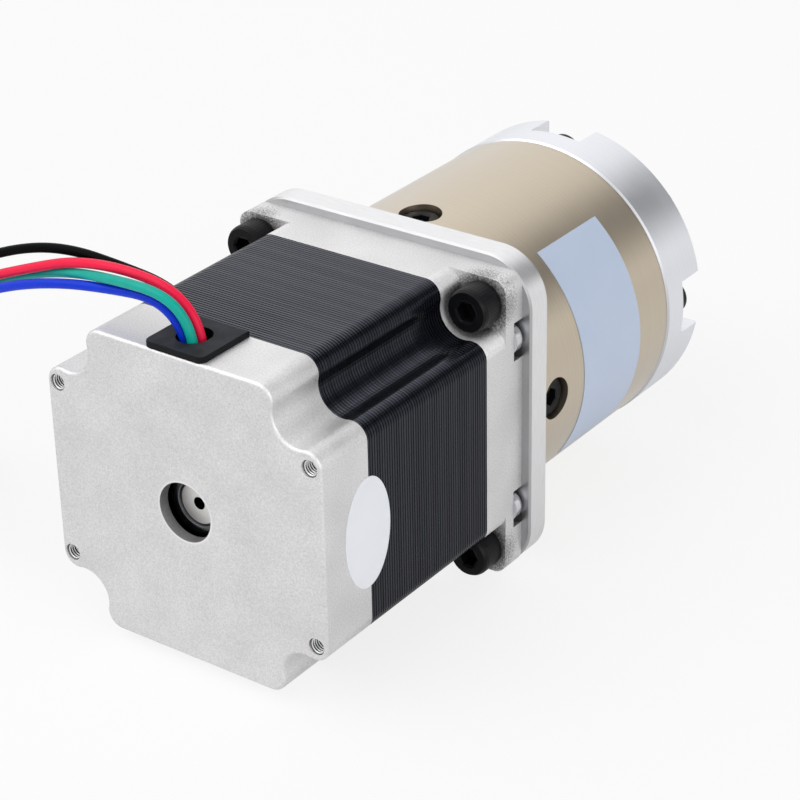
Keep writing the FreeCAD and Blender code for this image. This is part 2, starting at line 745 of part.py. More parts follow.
def toothed_rotor(shift):
    """One rotor half: a ring of square teeth on a core, bored for the shaft."""
    outer = number(ROTOR_RADIUS)
    root = outer - number("dims.rotor_tooth_depth")
    pitch = 2 * math.pi / ROTOR_TEETH
    edges = []
    for k in range(ROTOR_TEETH):
        angles = [(k + shift + part) * pitch for part in (0.0, 0.25, 0.5, 0.75, 1.0)]
        tip = [across(outer, angle) for angle in angles[:3]]
        gap = [across(root, angle) for angle in angles[2:]]
        edges.append(Part.Arc(*tip).toShape())
        edges.append(Part.makeLine(tip[-1], gap[0]))
        edges.append(Part.Arc(*gap).toShape())
        edges.append(Part.makeLine(gap[-1], across(outer, angles[-1])))
    face = Part.Face(Part.Wire(edges))
    length = number("dims.rotor_stack_length")
    return face.extrude(AXIS * length).cut(rod(number("dims.rotor_shaft_radius"), length))


def rotor():
    """Two toothed halves, half a tooth apart, with a ring magnet between them."""
    start = (f"({STACK_REAR} + dims.stack_length / 2 - dims.magnet_thickness / 2"
             " - dims.rotor_stack_length)")
    shaped("rotor_stack_rear", toothed_rotor(0.0), start)
    magnet_start = f"({start} + dims.rotor_stack_length)"
    turned("rotor_magnet", magnet_start, [
        ("dims.rotor_shaft_radius", "0"), (MAGNET_RADIUS, "0"),
        (MAGNET_RADIUS, "dims.magnet_thickness"),
        ("dims.rotor_shaft_radius", "dims.magnet_thickness"),
    ])
    shaped("rotor_stack_front", toothed_rotor(0.5), f"({magnet_start} + dims.magnet_thickness)")


def axis_cylinder(name, radius, length, station):
    """A parametric cylinder along the axis."""
    piece = doc.addObject("Part::Cylinder", name)
    piece.Placement.Rotation = ALONG_AXIS
    piece.setExpression("Radius", radius)
    piece.setExpression("Height", length)
    piece.setExpression("Placement.Base.y", station)
    return piece


def difference(name, base, tool):
    """One parametric solid cut by another."""
    piece = doc.addObject("Part::Cut", name)
    piece.Base = base
    piece.Tool = tool
    return piece


def bearing_ring(label, station, width, outer, inner, race):
    """A bearing ring with a round race for the balls."""
    blank = difference(f"{label}_blank",
                       axis_cylinder(f"{label}_outside", outer, width, station),
                       axis_cylinder(f"{label}_inside", inner, width, station))
    pitch, ball = race
    groove = doc.addObject("Part::Torus", f"{label}_race")
    groove.Placement.Rotation = ALONG_AXIS
    groove.setExpression("Radius1", pitch)
    groove.setExpression("Radius2", f"{ball} + dims.ball_clearance")
    groove.setExpression("Placement.Base.y", f"{station} + {width} / 2")
    keep(difference(label, blank, groove), label)


def ball_bearing(label, station, bore_radius, kind, count):
    """A deep groove ball bearing: two rings, a set of balls and the cage that spaces them."""
    outer = f"dims.{kind}_bearing_radius"
    width = f"dims.{kind}_bearing_width"
    ball = f"dims.{kind}_ball_radius"
    pitch = f"dims.{kind}_ball_pitch"
    race = (pitch, ball)
    bearing_ring(f"{label}_outer_ring", station, width, outer, f"({outer} - dims.ring_wall)", race)
    bearing_ring(f"{label}_inner_ring", station, width, f"({bore_radius} + dims.ring_wall)", bore_radius,
                 race)
    middle = number(f"{width} / 2")
    radius = number(ball)
    spots = [across(number(pitch), 2 * math.pi * k / count) + AXIS * middle for k in range(count)]
    shaped(f"{label}_balls", Part.makeCompound([Part.makeSphere(radius, spot) for spot in spots]), station)
    half_wall = number("dims.cage_thickness / 2")
    half_width = radius + half_wall
    cage = tube(number(pitch) + half_wall, number(pitch) - half_wall, 2 * half_width, middle - half_width)
    room = radius + number("2 * dims.ball_clearance")
    for spot in spots:
        outwards = Vector(spot.x, 0, spot.z)
        cage = cage.cut(Part.makeCylinder(room, 2 * radius, spot - outwards.normalize() * radius, outwards))
    shaped(f"{label}_cage", cage, station)


def wave_washer():
    """Spring washer that presses the rear bearing forwards: a thin ring with waves."""
    slack = number("dims.spring_thickness") * SPRING_SLACK_SHARE
    lift = number("dims.spring_room - dims.spring_thickness") - 2 * slack
    inner = number("dims.window_radius + dims.ring_wall")
    outer = number("dims.motor_bearing_radius - dims.ring_wall / 4")
    thick = number("dims.spring_thickness")
    rings = []
    for radius in (inner, outer):
        points = []
        for k in range(WAVE_POINTS):
            angle = 2 * math.pi * k / WAVE_POINTS
            height = slack + lift * (1 + math.cos(WAVES * angle)) / 2
            points.append(across(radius, angle) + AXIS * height)
        curve = Part.BSplineCurve()
        curve.interpolate(Points=points, PeriodicFlag=True)
        rings.append(Part.Wire(curve.toShape()))
    sheet_face = Part.makeRuledSurface(rings[0], rings[1])
    shaped("wave_washer", sheet_face.Faces[0].extrude(AXIS * thick), f"({REAR} + dims.lip_thickness)")


# Gearbox
def tooth_flank(base_radius, start_radius, tip_radius, half_angle):
    """An involute flank from the root to the tip: radii with their angles from the tooth's middle."""
    flank = []
    for k in range(FLANK_STEPS + 1):
        radius = start_radius + (tip_radius - start_radius) * k / FLANK_STEPS
        roll = math.acos(min(1.0, base_radius / radius))
        flank.append((radius, half_angle - math.tan(roll) + roll))
    return flank


def smooth_edge(points):
    """A smooth edge through points."""
    curve = Part.BSplineCurve()
    curve.interpolate(points)
    return curve.toShape()


def gear_wire(teeth, tip_radius, root_radius, thickness_change, phase):
    """Outline of an involute gear across the axis, with a tooth centred at the phase angle."""
    pitch_radius = teeth * number(GEAR_MODULE) / 2
    base_radius = pitch_radius * math.cos(PRESSURE_ANGLE)
    involute = math.tan(PRESSURE_ANGLE) - PRESSURE_ANGLE
    half_angle = math.pi / (2 * teeth) + thickness_change / (2 * pitch_radius) + involute
    start_radius = max(base_radius, root_radius)
    flank = tooth_flank(base_radius, start_radius, tip_radius, half_angle)
    root_half = flank[0][1]
    pitch = 2 * math.pi / teeth
    edges = []
    for k in range(teeth):
        centre = phase + k * pitch
        rise = [across(radius, centre - angle) for radius, angle in flank]
        fall = [across(radius, centre + angle) for radius, angle in reversed(flank)]
        root_start = across(root_radius, centre + root_half)
        root_end = across(root_radius, centre + pitch - root_half)
        undercut = start_radius > root_radius
        if undercut:
            edges.append(Part.makeLine(across(root_radius, centre - root_half), rise[0]))
        edges.append(smooth_edge(rise))
        edges.append(Part.Arc(rise[-1], across(tip_radius, centre), fall[0]).toShape())
        edges.append(smooth_edge(fall))
        if undercut:
            edges.append(Part.makeLine(fall[-1], root_start))
        edges.append(Part.Arc(root_start, across(root_radius, centre + pitch / 2), root_end).toShape())
    return Part.Wire(edges)


def spur_gear(teeth, width, phase):
    """A solid spur gear, its teeth thinned by half the backlash."""
    pitch_radius = teeth * number(GEAR_MODULE) / 2
    wire = gear_wire(teeth, pitch_radius + number(ADDENDUM), pitch_radius - number(DEDENDUM),
                     -number("dims.tooth_backlash") / 2, phase)
    return Part.Face(wire).extrude(AXIS * width)


def planet_angle(place):
    """Where a planet stands about the output axis: one straight up, the others evenly round."""
    return math.pi / 2 + 2 * math.pi * place / PLANETS


def planet_phase(teeth, place):
    """The turn that puts a planet's tooth in the ring's tooth space that faces it."""
    around_ring = planet_angle(place)
    steps = around_ring * RING_TEETH / (2 * math.pi)
    return around_ring - 2 * math.pi / teeth * steps


def sun_phase(teeth, planet_teeth):
    """The turn that puts the sun's teeth between those of the planet that stands straight up."""
    place = planet_angle(0)
    planet_steps = (place + math.pi - planet_phase(planet_teeth, 0)) * planet_teeth / (2 * math.pi)
    return place - 2 * math.pi / teeth * (0.5 - planet_steps)


def orbit_radius(sun_teeth, planet_teeth):
    """Distance from the output axis to a planet's axis."""
    return (sun_teeth + planet_teeth) * number(GEAR_MODULE) / 2


def planet_spots(sun_teeth, planet_teeth):
    """The places of a stage's planet axes across the output axis."""
    radius = orbit_radius(sun_teeth, planet_teeth)
    return [(radius * math.cos(planet_angle(k)), radius * math.sin(planet_angle(k))) for k in range(PLANETS)]


def adapter_plate():
    """Square plate between motor and gearbox, with a round spigot inside the housing."""
    owner = body("adapter_plate", ADAPTER_REAR)
    border = cross_sketch(owner, "adapter_outline")
    rounded_square(border, ADAPTER_WIDTH, "dims.adapter_corner_radius")
    plate = pad(owner, "adapter_block", border, "dims.adapter_thickness")
    doc.recompute()
    rims = [
        f"Edge{index}" for index, edge in enumerate(plate.Shape.Edges, start=1)
        if edge.BoundBox.YLength < number("dims.adapter_thickness / 2")
    ]
    edge_break = owner.newObject("PartDesign::Chamfer", "adapter_edge_break")
    edge_break.Base = (plate, rims)
    edge_break.setExpression("Size", "dims.adapter_edge")
    spigot = cross_sketch(owner, "spigot_outline", "dims.adapter_thickness")
    circles(spigot, [("0", "0", SPIGOT_RADIUS)])
    pad(owner, "spigot", spigot, "dims.spigot_length")
    whole = "(dims.adapter_thickness + dims.spigot_length)"
    bore(owner, "adapter_bore", "0", whole, [("0", "0", "dims.adapter_bore_radius")])
    bore(owner, "pilot_seat", "0", "dims.pilot_height + dims.hole_clearance",
         [("0", "0", "(dims.pilot_radius + dims.seat_clearance)")])
    bore(owner, "adapter_bolt_holes", "0", "dims.adapter_thickness",
         four_rounds(BOLT_PLACE, BOLT_PLACE, "(dims.bolt_radius + dims.thread_clearance)"))
    place = "(dims.adapter_thickness + dims.radial_hole_place)"
    radius = "(dims.radial_screw_radius + dims.thread_clearance)"
    upright = sketch(owner, "upright_thread_outline", "XY_Plane")
    circles(upright, [("0", place, radius)])
    through(owner, "upright_threads", upright)
    level = sketch(owner, "level_thread_outline", "YZ_Plane")
    circles(level, [(place, "0", radius)])
    through(owner, "level_threads", level)


def ring_gear_housing():
    """Plated steel cylinder with the ring teeth inside, sunk holes for the radial screws and tapped ends."""
    blank = turned("ring_gear_housing_blank", HOUSING_REAR, [
        (f"({SPIGOT_RADIUS} + dims.seat_clearance)", "0"),
        ("(dims.housing_radius - dims.housing_edge)", "0"),
        ("dims.housing_radius", "dims.housing_edge"),
        ("dims.housing_radius", "(dims.housing_length - dims.housing_edge)"),
        ("(dims.housing_radius - dims.housing_edge)", "dims.housing_length"),
        (f"({FRONT_SPIGOT_RADIUS} + dims.seat_clearance)", "dims.housing_length"),
        (f"({FRONT_SPIGOT_RADIUS} + dims.seat_clearance)",
         "(dims.housing_length - dims.front_spigot_length - dims.spigot_room)"),
        (f"({CARRIER_RADIUS} - {ADDENDUM})",
         "(dims.housing_length - dims.front_spigot_length - dims.spigot_room)"),
        (f"({CARRIER_RADIUS} - {ADDENDUM})", "(dims.spigot_length + dims.spigot_room)"),
        (f"({SPIGOT_RADIUS} + dims.seat_clearance)", "(dims.spigot_length + dims.spigot_room)"),
    ])
    nodes.remove(blank)
    recess = sketch(blank, "radial_recess_outline", "XY_Plane", RECESS_FLOOR)
    circles(recess, [("0", "dims.radial_hole_place", "dims.radial_recess_radius")])
    sunk = pocket(blank, "radial_recess", recess, "dims.housing_radius", True)
    hole = sketch(blank, "radial_hole_outline", "XY_Plane", CARRIER_RADIUS)
    circles(hole, [("0", "dims.radial_hole_place", "(dims.radial_screw_radius + dims.hole_clearance)")])
    cleared = pocket(blank, "radial_hole", hole, "dims.housing_radius", True)
    doc.recompute()
    around(blank, "radial_holes", [sunk, cleared], 4)
    depth = "(dims.flange_screw_length - dims.front_flange_length + dims.notch_depth + dims.axial_play)"
    tapped = cross_sketch(blank, "front_thread_outline", f"(dims.housing_length - {depth})")
    circles(tapped, [(FLANGE_SCREW_CIRCLE, "0", "(dims.flange_screw_radius + dims.thread_clearance)")])
    thread = pocket(blank, "front_thread", tapped, depth)
    doc.recompute()
    around(blank, "front_threads", [thread], 4)
    pitch_radius = number(f"{RING_TEETH} * {GEAR_MODULE} / 2")
    spaces = gear_wire(RING_TEETH, pitch_radius + number(DEDENDUM),
                       pitch_radius - number(ADDENDUM), number("dims.tooth_backlash") / 2, 0.0)
    teeth = doc.addObject("Part::Feature", "ring_tooth_spaces")
    teeth.Shape = Part.Face(spaces).extrude(AXIS * number("dims.housing_length"))
    teeth.setExpression("Placement.Base.y", HOUSING_REAR)
    keep(difference("ring_gear_housing", blank, teeth), "ring_gear_housing")


def housing_screws():
    """Four black socket screws, sunk in the housing and screwed into the adapter's spigot."""
    screw = cap_screw(number("dims.radial_head_radius"), number("dims.radial_head_height"),
                      number("dims.radial_screw_radius"), number("dims.radial_screw_length"))
    screw.rotate(Vector(0, 0, 0), Vector(1, 0, 0), -90)
    upright = moved(screw, 0, 0, number(RECESS_FLOOR))
    screws = [turned_to(upright, k * 90) for k in range(4)]
    shaped("housing_screws", Part.makeCompound(screws), f"({HOUSING_REAR} + dims.radial_hole_place)")


def thrust_washer():
    """Steel ring that the first planets run against."""
    turned("thrust_washer", SPIGOT_END, [
        ("dims.adapter_bore_radius", "0"), (WASHER_RADIUS, "0"),
        (WASHER_RADIUS, "dims.washer_thickness"),
        ("dims.adapter_bore_radius", "dims.washer_thickness"),
    ])


def first_stage():
    """Sun pinion on the motor shaft, three planets on pins and the carrier that they turn."""
    width = number("dims.first_planet_width")
    sun = spur_gear(FIRST_SUN_TEETH, width, sun_phase(FIRST_SUN_TEETH, FIRST_PLANET_TEETH))
    shaped("sun_pinion", sun.cut(rod(number("dims.journal_radius"), width)), FIRST_STAGE)
    spots = planet_spots(FIRST_SUN_TEETH, FIRST_PLANET_TEETH)
    hole = number("dims.first_pin_radius + dims.pin_clearance")
    for k, (x, z) in enumerate(spots):
        gear = spur_gear(FIRST_PLANET_TEETH, width, planet_phase(FIRST_PLANET_TEETH, k))
        shaped(f"first_planet_{k + 1}", moved(gear.cut(rod(hole, width)), x, 0, z), FIRST_STAGE)
    pin_radius = number("dims.first_pin_radius")
    thick = number("dims.first_carrier_thickness")
    disc = rod(number(CARRIER_RADIUS), thick).cut(rod(number("dims.sun_stub_radius"), thick))
    for x, z in spots:
        disc = disc.cut(moved(rod(pin_radius, thick), x, 0, z))
    shaped("first_carrier", disc, FIRST_CARRIER)
    reach = number("dims.first_planet_width + dims.axial_play")
    pins = [moved(rod(pin_radius, reach + thick, -reach), x, 0, z) for x, z in spots]
    shaped("first_planet_pins", Part.makeCompound(pins), FIRST_CARRIER)


def second_stage():
    """Sun gear pressed into the first carrier, and three wider planets on the output carrier's pins."""
    width = number(SECOND_PLANET_WIDTH)
    stub = number("dims.first_carrier_thickness")
    toothed = number("dims.axial_play") + width
    sun = spur_gear(SECOND_SUN_TEETH, toothed, sun_phase(SECOND_SUN_TEETH, SECOND_PLANET_TEETH))
    sun = moved(sun, 0, stub, 0).fuse(rod(number("dims.sun_stub_radius"), stub)).removeSplitter()
    shaped("second_sun_gear", sun, FIRST_CARRIER)
    spots = planet_spots(SECOND_SUN_TEETH, SECOND_PLANET_TEETH)
    hole = number("dims.second_pin_radius + dims.pin_clearance")
    for k, (x, z) in enumerate(spots):
        gear = spur_gear(SECOND_PLANET_TEETH, width, planet_phase(SECOND_PLANET_TEETH, k))
        shaped(f"second_planet_{k + 1}", moved(gear.cut(rod(hole, width)), x, 0, z), SECOND_STAGE)
    reach = number(f"{SECOND_PLANET_WIDTH} + dims.axial_play")
    thick = number("dims.output_carrier_thickness")
    radius = number("dims.second_pin_radius")
    pins = [moved(rod(radius, reach + thick, -reach), x, 0, z) for x, z in spots]
    shaped("second_planet_pins", Part.makeCompound(pins), OUTPUT_CARRIER)


def output_shaft():
    """Dark steel shaft in one piece with the second carrier: circlip groove, relief groove and keyway."""
    carrier = "dims.output_carrier_thickness"
    shoulder = f"({OUTPUT_BEARING} - {OUTPUT_CARRIER})"
    groove = f"({CIRCLIP} - {OUTPUT_CARRIER})"
    groove_end = f"({groove} + dims.circlip_thickness)"
    relief = f"(dims.front_pilot_height - {OUTPUT_CARRIER} + dims.axial_play)"
    relief_end = f"({relief} + dims.relief_width)"
    relief_radius = "(dims.output_radius - dims.relief_depth)"
    end = f"(dims.output_reach - {OUTPUT_CARRIER})"
    owner = turned("output_shaft", OUTPUT_CARRIER, [
        ("0", "0"), (CARRIER_RADIUS, "0"), (CARRIER_RADIUS, carrier),
        ("dims.output_shoulder_radius", carrier), ("dims.output_shoulder_radius", shoulder),
        ("dims.output_radius", shoulder), ("dims.output_radius", groove),
        ("(dims.output_radius - dims.circlip_groove)", groove),
        ("(dims.output_radius - dims.circlip_groove)", groove_end),
        ("dims.output_radius", groove_end),
        ("dims.output_radius", relief), (relief_radius, relief),
        (relief_radius, relief_end), ("dims.output_radius", relief_end),
        ("dims.output_radius", f"({end} - dims.output_chamfer)"),
        ("(dims.output_radius - dims.output_chamfer)", end), ("0", end),
    ])
    orbit = f"({SECOND_SUN_TEETH + SECOND_PLANET_TEETH} * {GEAR_MODULE} / 2)"
    pin_holes = [("0", orbit, "dims.second_pin_radius")]
    for k in range(1, PLANETS):
        angle = f"{90 + 360 * k / PLANETS} deg"
        pin_holes.append((f"({orbit} * cos({angle}))", f"({orbit} * sin({angle}))", "dims.second_pin_radius"))
    bore(owner, "output_pin_holes", "0", carrier, pin_holes)
    keyway = sketch(owner, "keyway_outline", "YZ_Plane", "(dims.output_radius - dims.key_depth)")
    front = f"({end} - dims.key_end_room)"
    rear = f"({front} - dims.key_length)"
    half = "(dims.key_width / 2)"
    outline(keyway, [(rear, f"(-{half})"), (front, f"(-{half})"), (front, half), (rear, half)])
    pocket(owner, "keyway", keyway, "dims.output_radius", True)


def front_flange():
    """Turned aluminium end with a pilot, four notches for its screws and four tapped mounting holes."""
    spigot = "dims.front_spigot_length"
    face = "(dims.front_spigot_length + dims.front_flange_length)"
    top = f"({face} + dims.front_pilot_height)"
    seat_end = f"({face} + dims.front_lip_start)"
    bearing_seat = "(dims.output_bearing_radius + dims.seat_clearance)"
    owner = turned("front_flange", f"({FLANGE_REAR} - dims.front_spigot_length)", [
        (bearing_seat, "0"), (FRONT_SPIGOT_RADIUS, "0"), (FRONT_SPIGOT_RADIUS, spigot),
        (f"({FRONT_FLANGE_RADIUS} - dims.front_flange_edge)", spigot),
        (FRONT_FLANGE_RADIUS, f"({spigot} + dims.front_flange_edge)"),
        (FRONT_FLANGE_RADIUS, f"({face} - dims.front_flange_edge)"),
        (f"({FRONT_FLANGE_RADIUS} - dims.front_flange_edge)", face),
        ("dims.front_pilot_radius", face),
        ("dims.front_pilot_radius", f"({top} - dims.front_flange_edge)"),
        ("(dims.front_pilot_radius - dims.front_flange_edge)", top),
        ("dims.seal_seat_radius", top), ("dims.seal_seat_radius", seat_end), (bearing_seat, seat_end),
    ])
    notch = cross_sketch(owner, "notch_outline", f"({face} - dims.notch_depth)")
    half = "(dims.notch_width / 2)"
    outside = f"({FRONT_FLANGE_RADIUS} + dims.notch_width)"
    outline(notch, [(NOTCH_FLOOR_RADIUS, f"(-{half})"), (outside, f"(-{half})"),
                    (outside, half), (NOTCH_FLOOR_RADIUS, half)])
    cut = pocket(owner, "notch", notch, "dims.notch_depth")
    hole = bore(owner, "flange_screw_hole", "0", face,
                [(FLANGE_SCREW_CIRCLE, "0", "(dims.flange_screw_radius + dims.hole_clearance)")])
    doc.recompute()
    around(owner, "notches", [cut, hole], 4)
    diagonal = f"({MOUNT_CIRCLE_RADIUS} * cos(45 deg))"
    bore(owner, "mount_holes", f"({face} - dims.mount_hole_depth)", "dims.mount_hole_depth",
         four_rounds(diagonal, diagonal, "dims.mount_hole_radius"))


def front_flange_screws():
    """Four black socket screws in the notches, into the housing's front end."""
    screw = cap_screw(number("dims.flange_screw_head_radius"), number("dims.flange_screw_head_height"),
                      number("dims.flange_screw_radius"), number("dims.flange_screw_length"))
    screw.rotate(Vector(0, 0, 0), Vector(0, 0, 1), 180)
    circle = number(FLANGE_SCREW_CIRCLE)
    screws = [turned_to(moved(screw, circle, 0, 0), k * 90) for k in range(4)]
    shaped("front_flange_screws", Part.makeCompound(screws), "(-dims.notch_depth)")


def shaft_circlip():
    """Spring steel ring in the shaft's groove, open at one side, that holds the bearings."""
    inner = number("dims.output_radius - dims.circlip_groove")
    thick = number("dims.circlip_thickness")
    ring = tube(number("dims.circlip_radius"), inner, thick)
    gap = Part.makeBox(inner, thick, inner * 2, Vector(-inner / 2, 0, -inner * 2))
    shaped("shaft_circlip", ring.cut(gap), CIRCLIP)


def shaft_seal():
    """Rubber lip seal in the front of the pilot."""
    station = "(dims.front_pilot_height - dims.seal_thickness - dims.front_flange_edge)"
    turned("shaft_seal", station, [
        ("(dims.output_radius + dims.seal_gap)", "0"), ("dims.seal_seat_radius", "0"),
        ("dims.seal_seat_radius", "dims.seal_thickness"),
        ("(dims.output_radius + dims.seal_gap)", "dims.seal_thickness"),
    ])


# Labels
def rating_label():
    """Bare paper strip glued round part of the housing."""
    inner = number("dims.housing_radius")
    width = number("dims.label_width")
    thick = number("dims.label_thickness")
    section = Part.makePolygon([
        Vector(inner, 0, 0), Vector(inner + thick, 0, 0), Vector(inner + thick, width, 0),
        Vector(inner, width, 0), Vector(inner, 0, 0),
    ])
    strip = Part.Face(section).revolve(Vector(0, 0, 0), -AXIS, LABEL_HIGH_ANGLE - LABEL_LOW_ANGLE)
    shaped("rating_label", turned_to(strip, -LABEL_LOW_ANGLE), f"({HOUSING_REAR} + dims.label_start)")


def oval_label():
    """Bare oval sticker across the joint of the rear cap and the core."""
    tall = number("dims.oval_height / 2")
    wide = number("dims.oval_width / 2")
    ellipse = Part.Ellipse(Vector(0, 0, 0), tall, wide)
    oval = Part.Face(Part.Wire(ellipse.toShape())).extrude(Vector(0, 0, number("dims.label_thickness")))
    oval.rotate(Vector(0, 0, 0), Vector(0, 1, 0), 90)
    side = moved(oval, number("dims.body_width / 2"), 0, 0)
    shaped("oval_label", side, f"({REAR} + dims.oval_place)")


# Leads: each route is measured from the motor's rear face, on the axis
LEAD_ROUTES = {
    "blue": [
        (-1.2, 4.8, 22.5), (-1.2, 4.8, 27.3), (-3.2, 4.6, 32.2), (-7.9, 4.2, 34.8), (-16.9, 4.6, 33.7),
        (-26.0, 3.3, 32.9), (-36.5, 3.4, 29.9), (-46.5, 3.6, 25.6), (-56.0, 4.0, 18.8), (-62.0, 4.4, 7.5),
        (-66.0, 4.8, -7.0), (-70.5, 5.1, -20.5), (-77.5, 5.1, -27.5), (-86.0, 5.1, -28.25),
    ],
    "green": [
        (0.6, 4.4, 22.5), (0.6, 4.4, 27.9), (-1.2, 4.1, 33.5), (-4.9, 3.0, 36.7), (-13.2, 3.4, 36.4),
        (-24.7, 5.2, 34.4), (-36.0, 6.8, 30.8), (-46.5, 7.1, 26.4), (-57.5, 6.7, 19.5), (-64.0, 6.2, 8.0),
        (-68.0, 5.8, -6.0), (-72.5, 5.3, -19.0), (-78.8, 5.1, -25.7), (-86.0, 5.1, -26.5),
    ],
    "red": [
        (0.9, 6.2, 22.5), (0.9, 6.2, 28.2), (-1.5, 6.1, 33.8), (-6.6, 5.9, 36.7), (-15.5, 5.5, 37.4),
        (-25.2, 5.3, 36.2), (-34.5, 5.0, 32.8), (-46.0, 5.1, 28.0), (-58.5, 5.1, 21.8), (-66.0, 5.1, 9.3),
        (-70.3, 5.1, -4.8), (-74.5, 5.1, -17.4), (-80.0, 5.1, -23.9), (-86.0, 5.1, -24.75),
    ],
    "black": [
        (-0.8, 7.6, 22.5), (-0.8, 7.6, 28.0), (-2.9, 7.7, 32.8), (-7.9, 7.8, 35.6), (-16.5, 7.7, 36.4),
        (-27.0, 7.6, 36.9), (-37.0, 7.6, 35.0), (-48.5, 7.5, 30.3), (-60.5, 7.2, 23.8), (-68.2, 6.6, 10.8),
        (-72.6, 6.0, -3.6), (-76.5, 5.4, -15.8), (-81.3, 5.1, -22.0), (-86.0, 5.1, -23.0),
    ],
}
COIL_PLACE = (-86.0, 17.5)
CORNER_SHARE = 0.45
TIP_FAN = -14.0
TIP_TURN = math.radians(-135)


def lead_path(points):
    """Straight runs joined by tangent arcs, each as large as its two runs allow."""
    edges = []
    radii = []
    start = points[0]
    for before, corner, after in zip(points, points[1:], points[2:]):
        run_in = (before - corner).Length
        run_out = (after - corner).Length
        inwards = (before - corner) * (1 / run_in)
        outwards = (after - corner) * (1 / run_out)
        half_turn = (math.pi - inwards.getAngle(outwards)) / 2
        cut = CORNER_SHARE * min(run_in, run_out)
        radius = cut / math.tan(half_turn)
        radii.append(radius)
        enter = corner + inwards * cut
        leave = corner + outwards * cut
        bisector = (inwards + outwards).normalize()
        middle = corner + bisector * (radius / math.cos(half_turn) - radius)
        edges.append(Part.LineSegment(start, enter).toShape())
        edges.append(Part.Arc(enter, middle, leave).toShape())
        start = leave
    edges.append(Part.LineSegment(start, points[-1]).toShape())
    return Part.Wire(edges), radii


def raised(piece):
    """Lets a lead's piece follow the height of the cap's top."""
    piece.setExpression("Placement.Base.z", LEAD_RISE)


def leads():
    """Four insulated leads from the grommet, over the edge of the cap and down to their coil."""
    radius = number("dims.lead_diameter / 2")
    for colour, route in LEAD_ROUTES.items():
        path, radii = lead_path([Vector(*spot) for spot in route])
        first = path.Edges[0]
        end = Part.Circle(first.firstVertex().Point, first.tangentAt(first.FirstParameter), radius)
        lead = path.makePipeShell([Part.Wire(end.toShape())], True, False)
        swept = math.pi * radius ** 2 * path.Length
        print(f"lead_{colour}: length {path.Length:.1f}, least radius {min(radii):.1f}, "
              f"volume share {lead.Volume / swept:.4f}")
        raised(shaped(f"lead_{colour}", lead, REAR))


def lead_coil():
    """The four leads wound together in a flat coil, one layer each, held by a tie."""
    half = number("dims.lead_diameter / 2")
    pitch = number("dims.lead_pitch")
    outer = number("dims.coil_outer_turn")
    inner = outer - pitch * number("dims.coil_turns")
    layers = len(LEAD_ROUTES)
    bottom = min(route[-1][2] for route in LEAD_ROUTES.values()) - half
    height = pitch * (layers - 1) + 2 * half
    centre = Vector(COIL_PLACE[0], COIL_PLACE[1], bottom)
    up = Vector(0, 0, 1)
    ring = Part.makeCylinder(outer + half, height, centre, up)
    ring = ring.cut(Part.makeCylinder(inner - half, height, centre, up))
    raised(shaped("lead_coil", ring, REAR))
    wrap = number("dims.tie_thickness")
    wide = number("dims.tie_width")
    depth = outer - inner + 2 * half
    low = inner - half
    band = Part.makeBox(depth + 2 * wrap, wide, height + 2 * wrap, Vector(low - wrap, -wide / 2, -wrap))
    hollow = Part.makeBox(depth, wide, height, Vector(low, -wide / 2, 0))
    tie = band.cut(hollow)
    tie.rotate(Vector(0, 0, 0), up, TIE_ANGLE)
    tie.translate(centre)
    raised(shaped("coil_tie", tie.cut(ring), REAR))
    tips = []
    tip_radius = number("dims.tip_radius")
    tip_length = number("dims.tip_length")
    for layer in range(layers):
        side = math.radians(360 * (0.75 - number("dims.coil_turns")) + TIP_FAN * layer)
        root = Vector(math.cos(side), math.sin(side), 0) * (inner - half / 2)
        inwards = Vector(math.cos(side + TIP_TURN), math.sin(side + TIP_TURN), 0)
        level = Vector(0, 0, half + pitch * layer)
        tips.append(Part.makeCylinder(tip_radius, tip_length, centre + root + level, inwards))
    raised(shaped("lead_tips", Part.makeCompound(tips), REAR))


def build():
    """Makes every piece, from the motor's rear cap to the leads."""
    rear_end_cap()
    lead_grommet()
    stator_stack()
    end_insulators()
    phase_windings()
    front_end_cap()
    through_screws()
    flange_bolts()
    motor_shaft()
    rotor()
    ball_bearing("rear_bearing", REAR_BEARING, "dims.journal_radius", "motor", MOTOR_BALLS)
    ball_bearing("front_bearing", FRONT_BEARING, "dims.journal_radius", "motor", MOTOR_BALLS)
    wave_washer()
    adapter_plate()
    ring_gear_housing()
    housing_screws()
    thrust_washer()
    first_stage()
    second_stage()
    output_shaft()
    front_flange()
    front_flange_screws()
    ball_bearing("output_bearing_rear", OUTPUT_BEARING, "dims.output_radius", "output", OUTPUT_BALLS)
    ball_bearing("output_bearing_front", OUTPUT_BEARING_FRONT, "dims.output_radius", "output", OUTPUT_BALLS)
    shaft_circlip()
    shaft_seal()
    rating_label()
    oval_label()
    leads()
    lead_coil()


def write():
    """Checks every object and writes each piece to its own file."""
    doc.recompute()
    failed = [item.Label for item in doc.Objects if {"Invalid", "Error"} & set(item.State)]
    for piece in nodes:
        if piece.Shape.isNull() or not piece.Shape.isValid():
            failed.append(piece.Label)
    if failed:
        raise RuntimeError(f"failed: {sorted(set(failed))}")
    os.makedirs("parts", exist_ok=True)
    for piece in nodes:
        piece.Shape.exportStep(f"parts/{piece.Label}.step")
    print(f"{len(nodes)} pieces")


build()
write()
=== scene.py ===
import math

import bmesh
import bpy
from bmesh.types import BMEdge, BMVert
from mathutils import Matrix, Vector


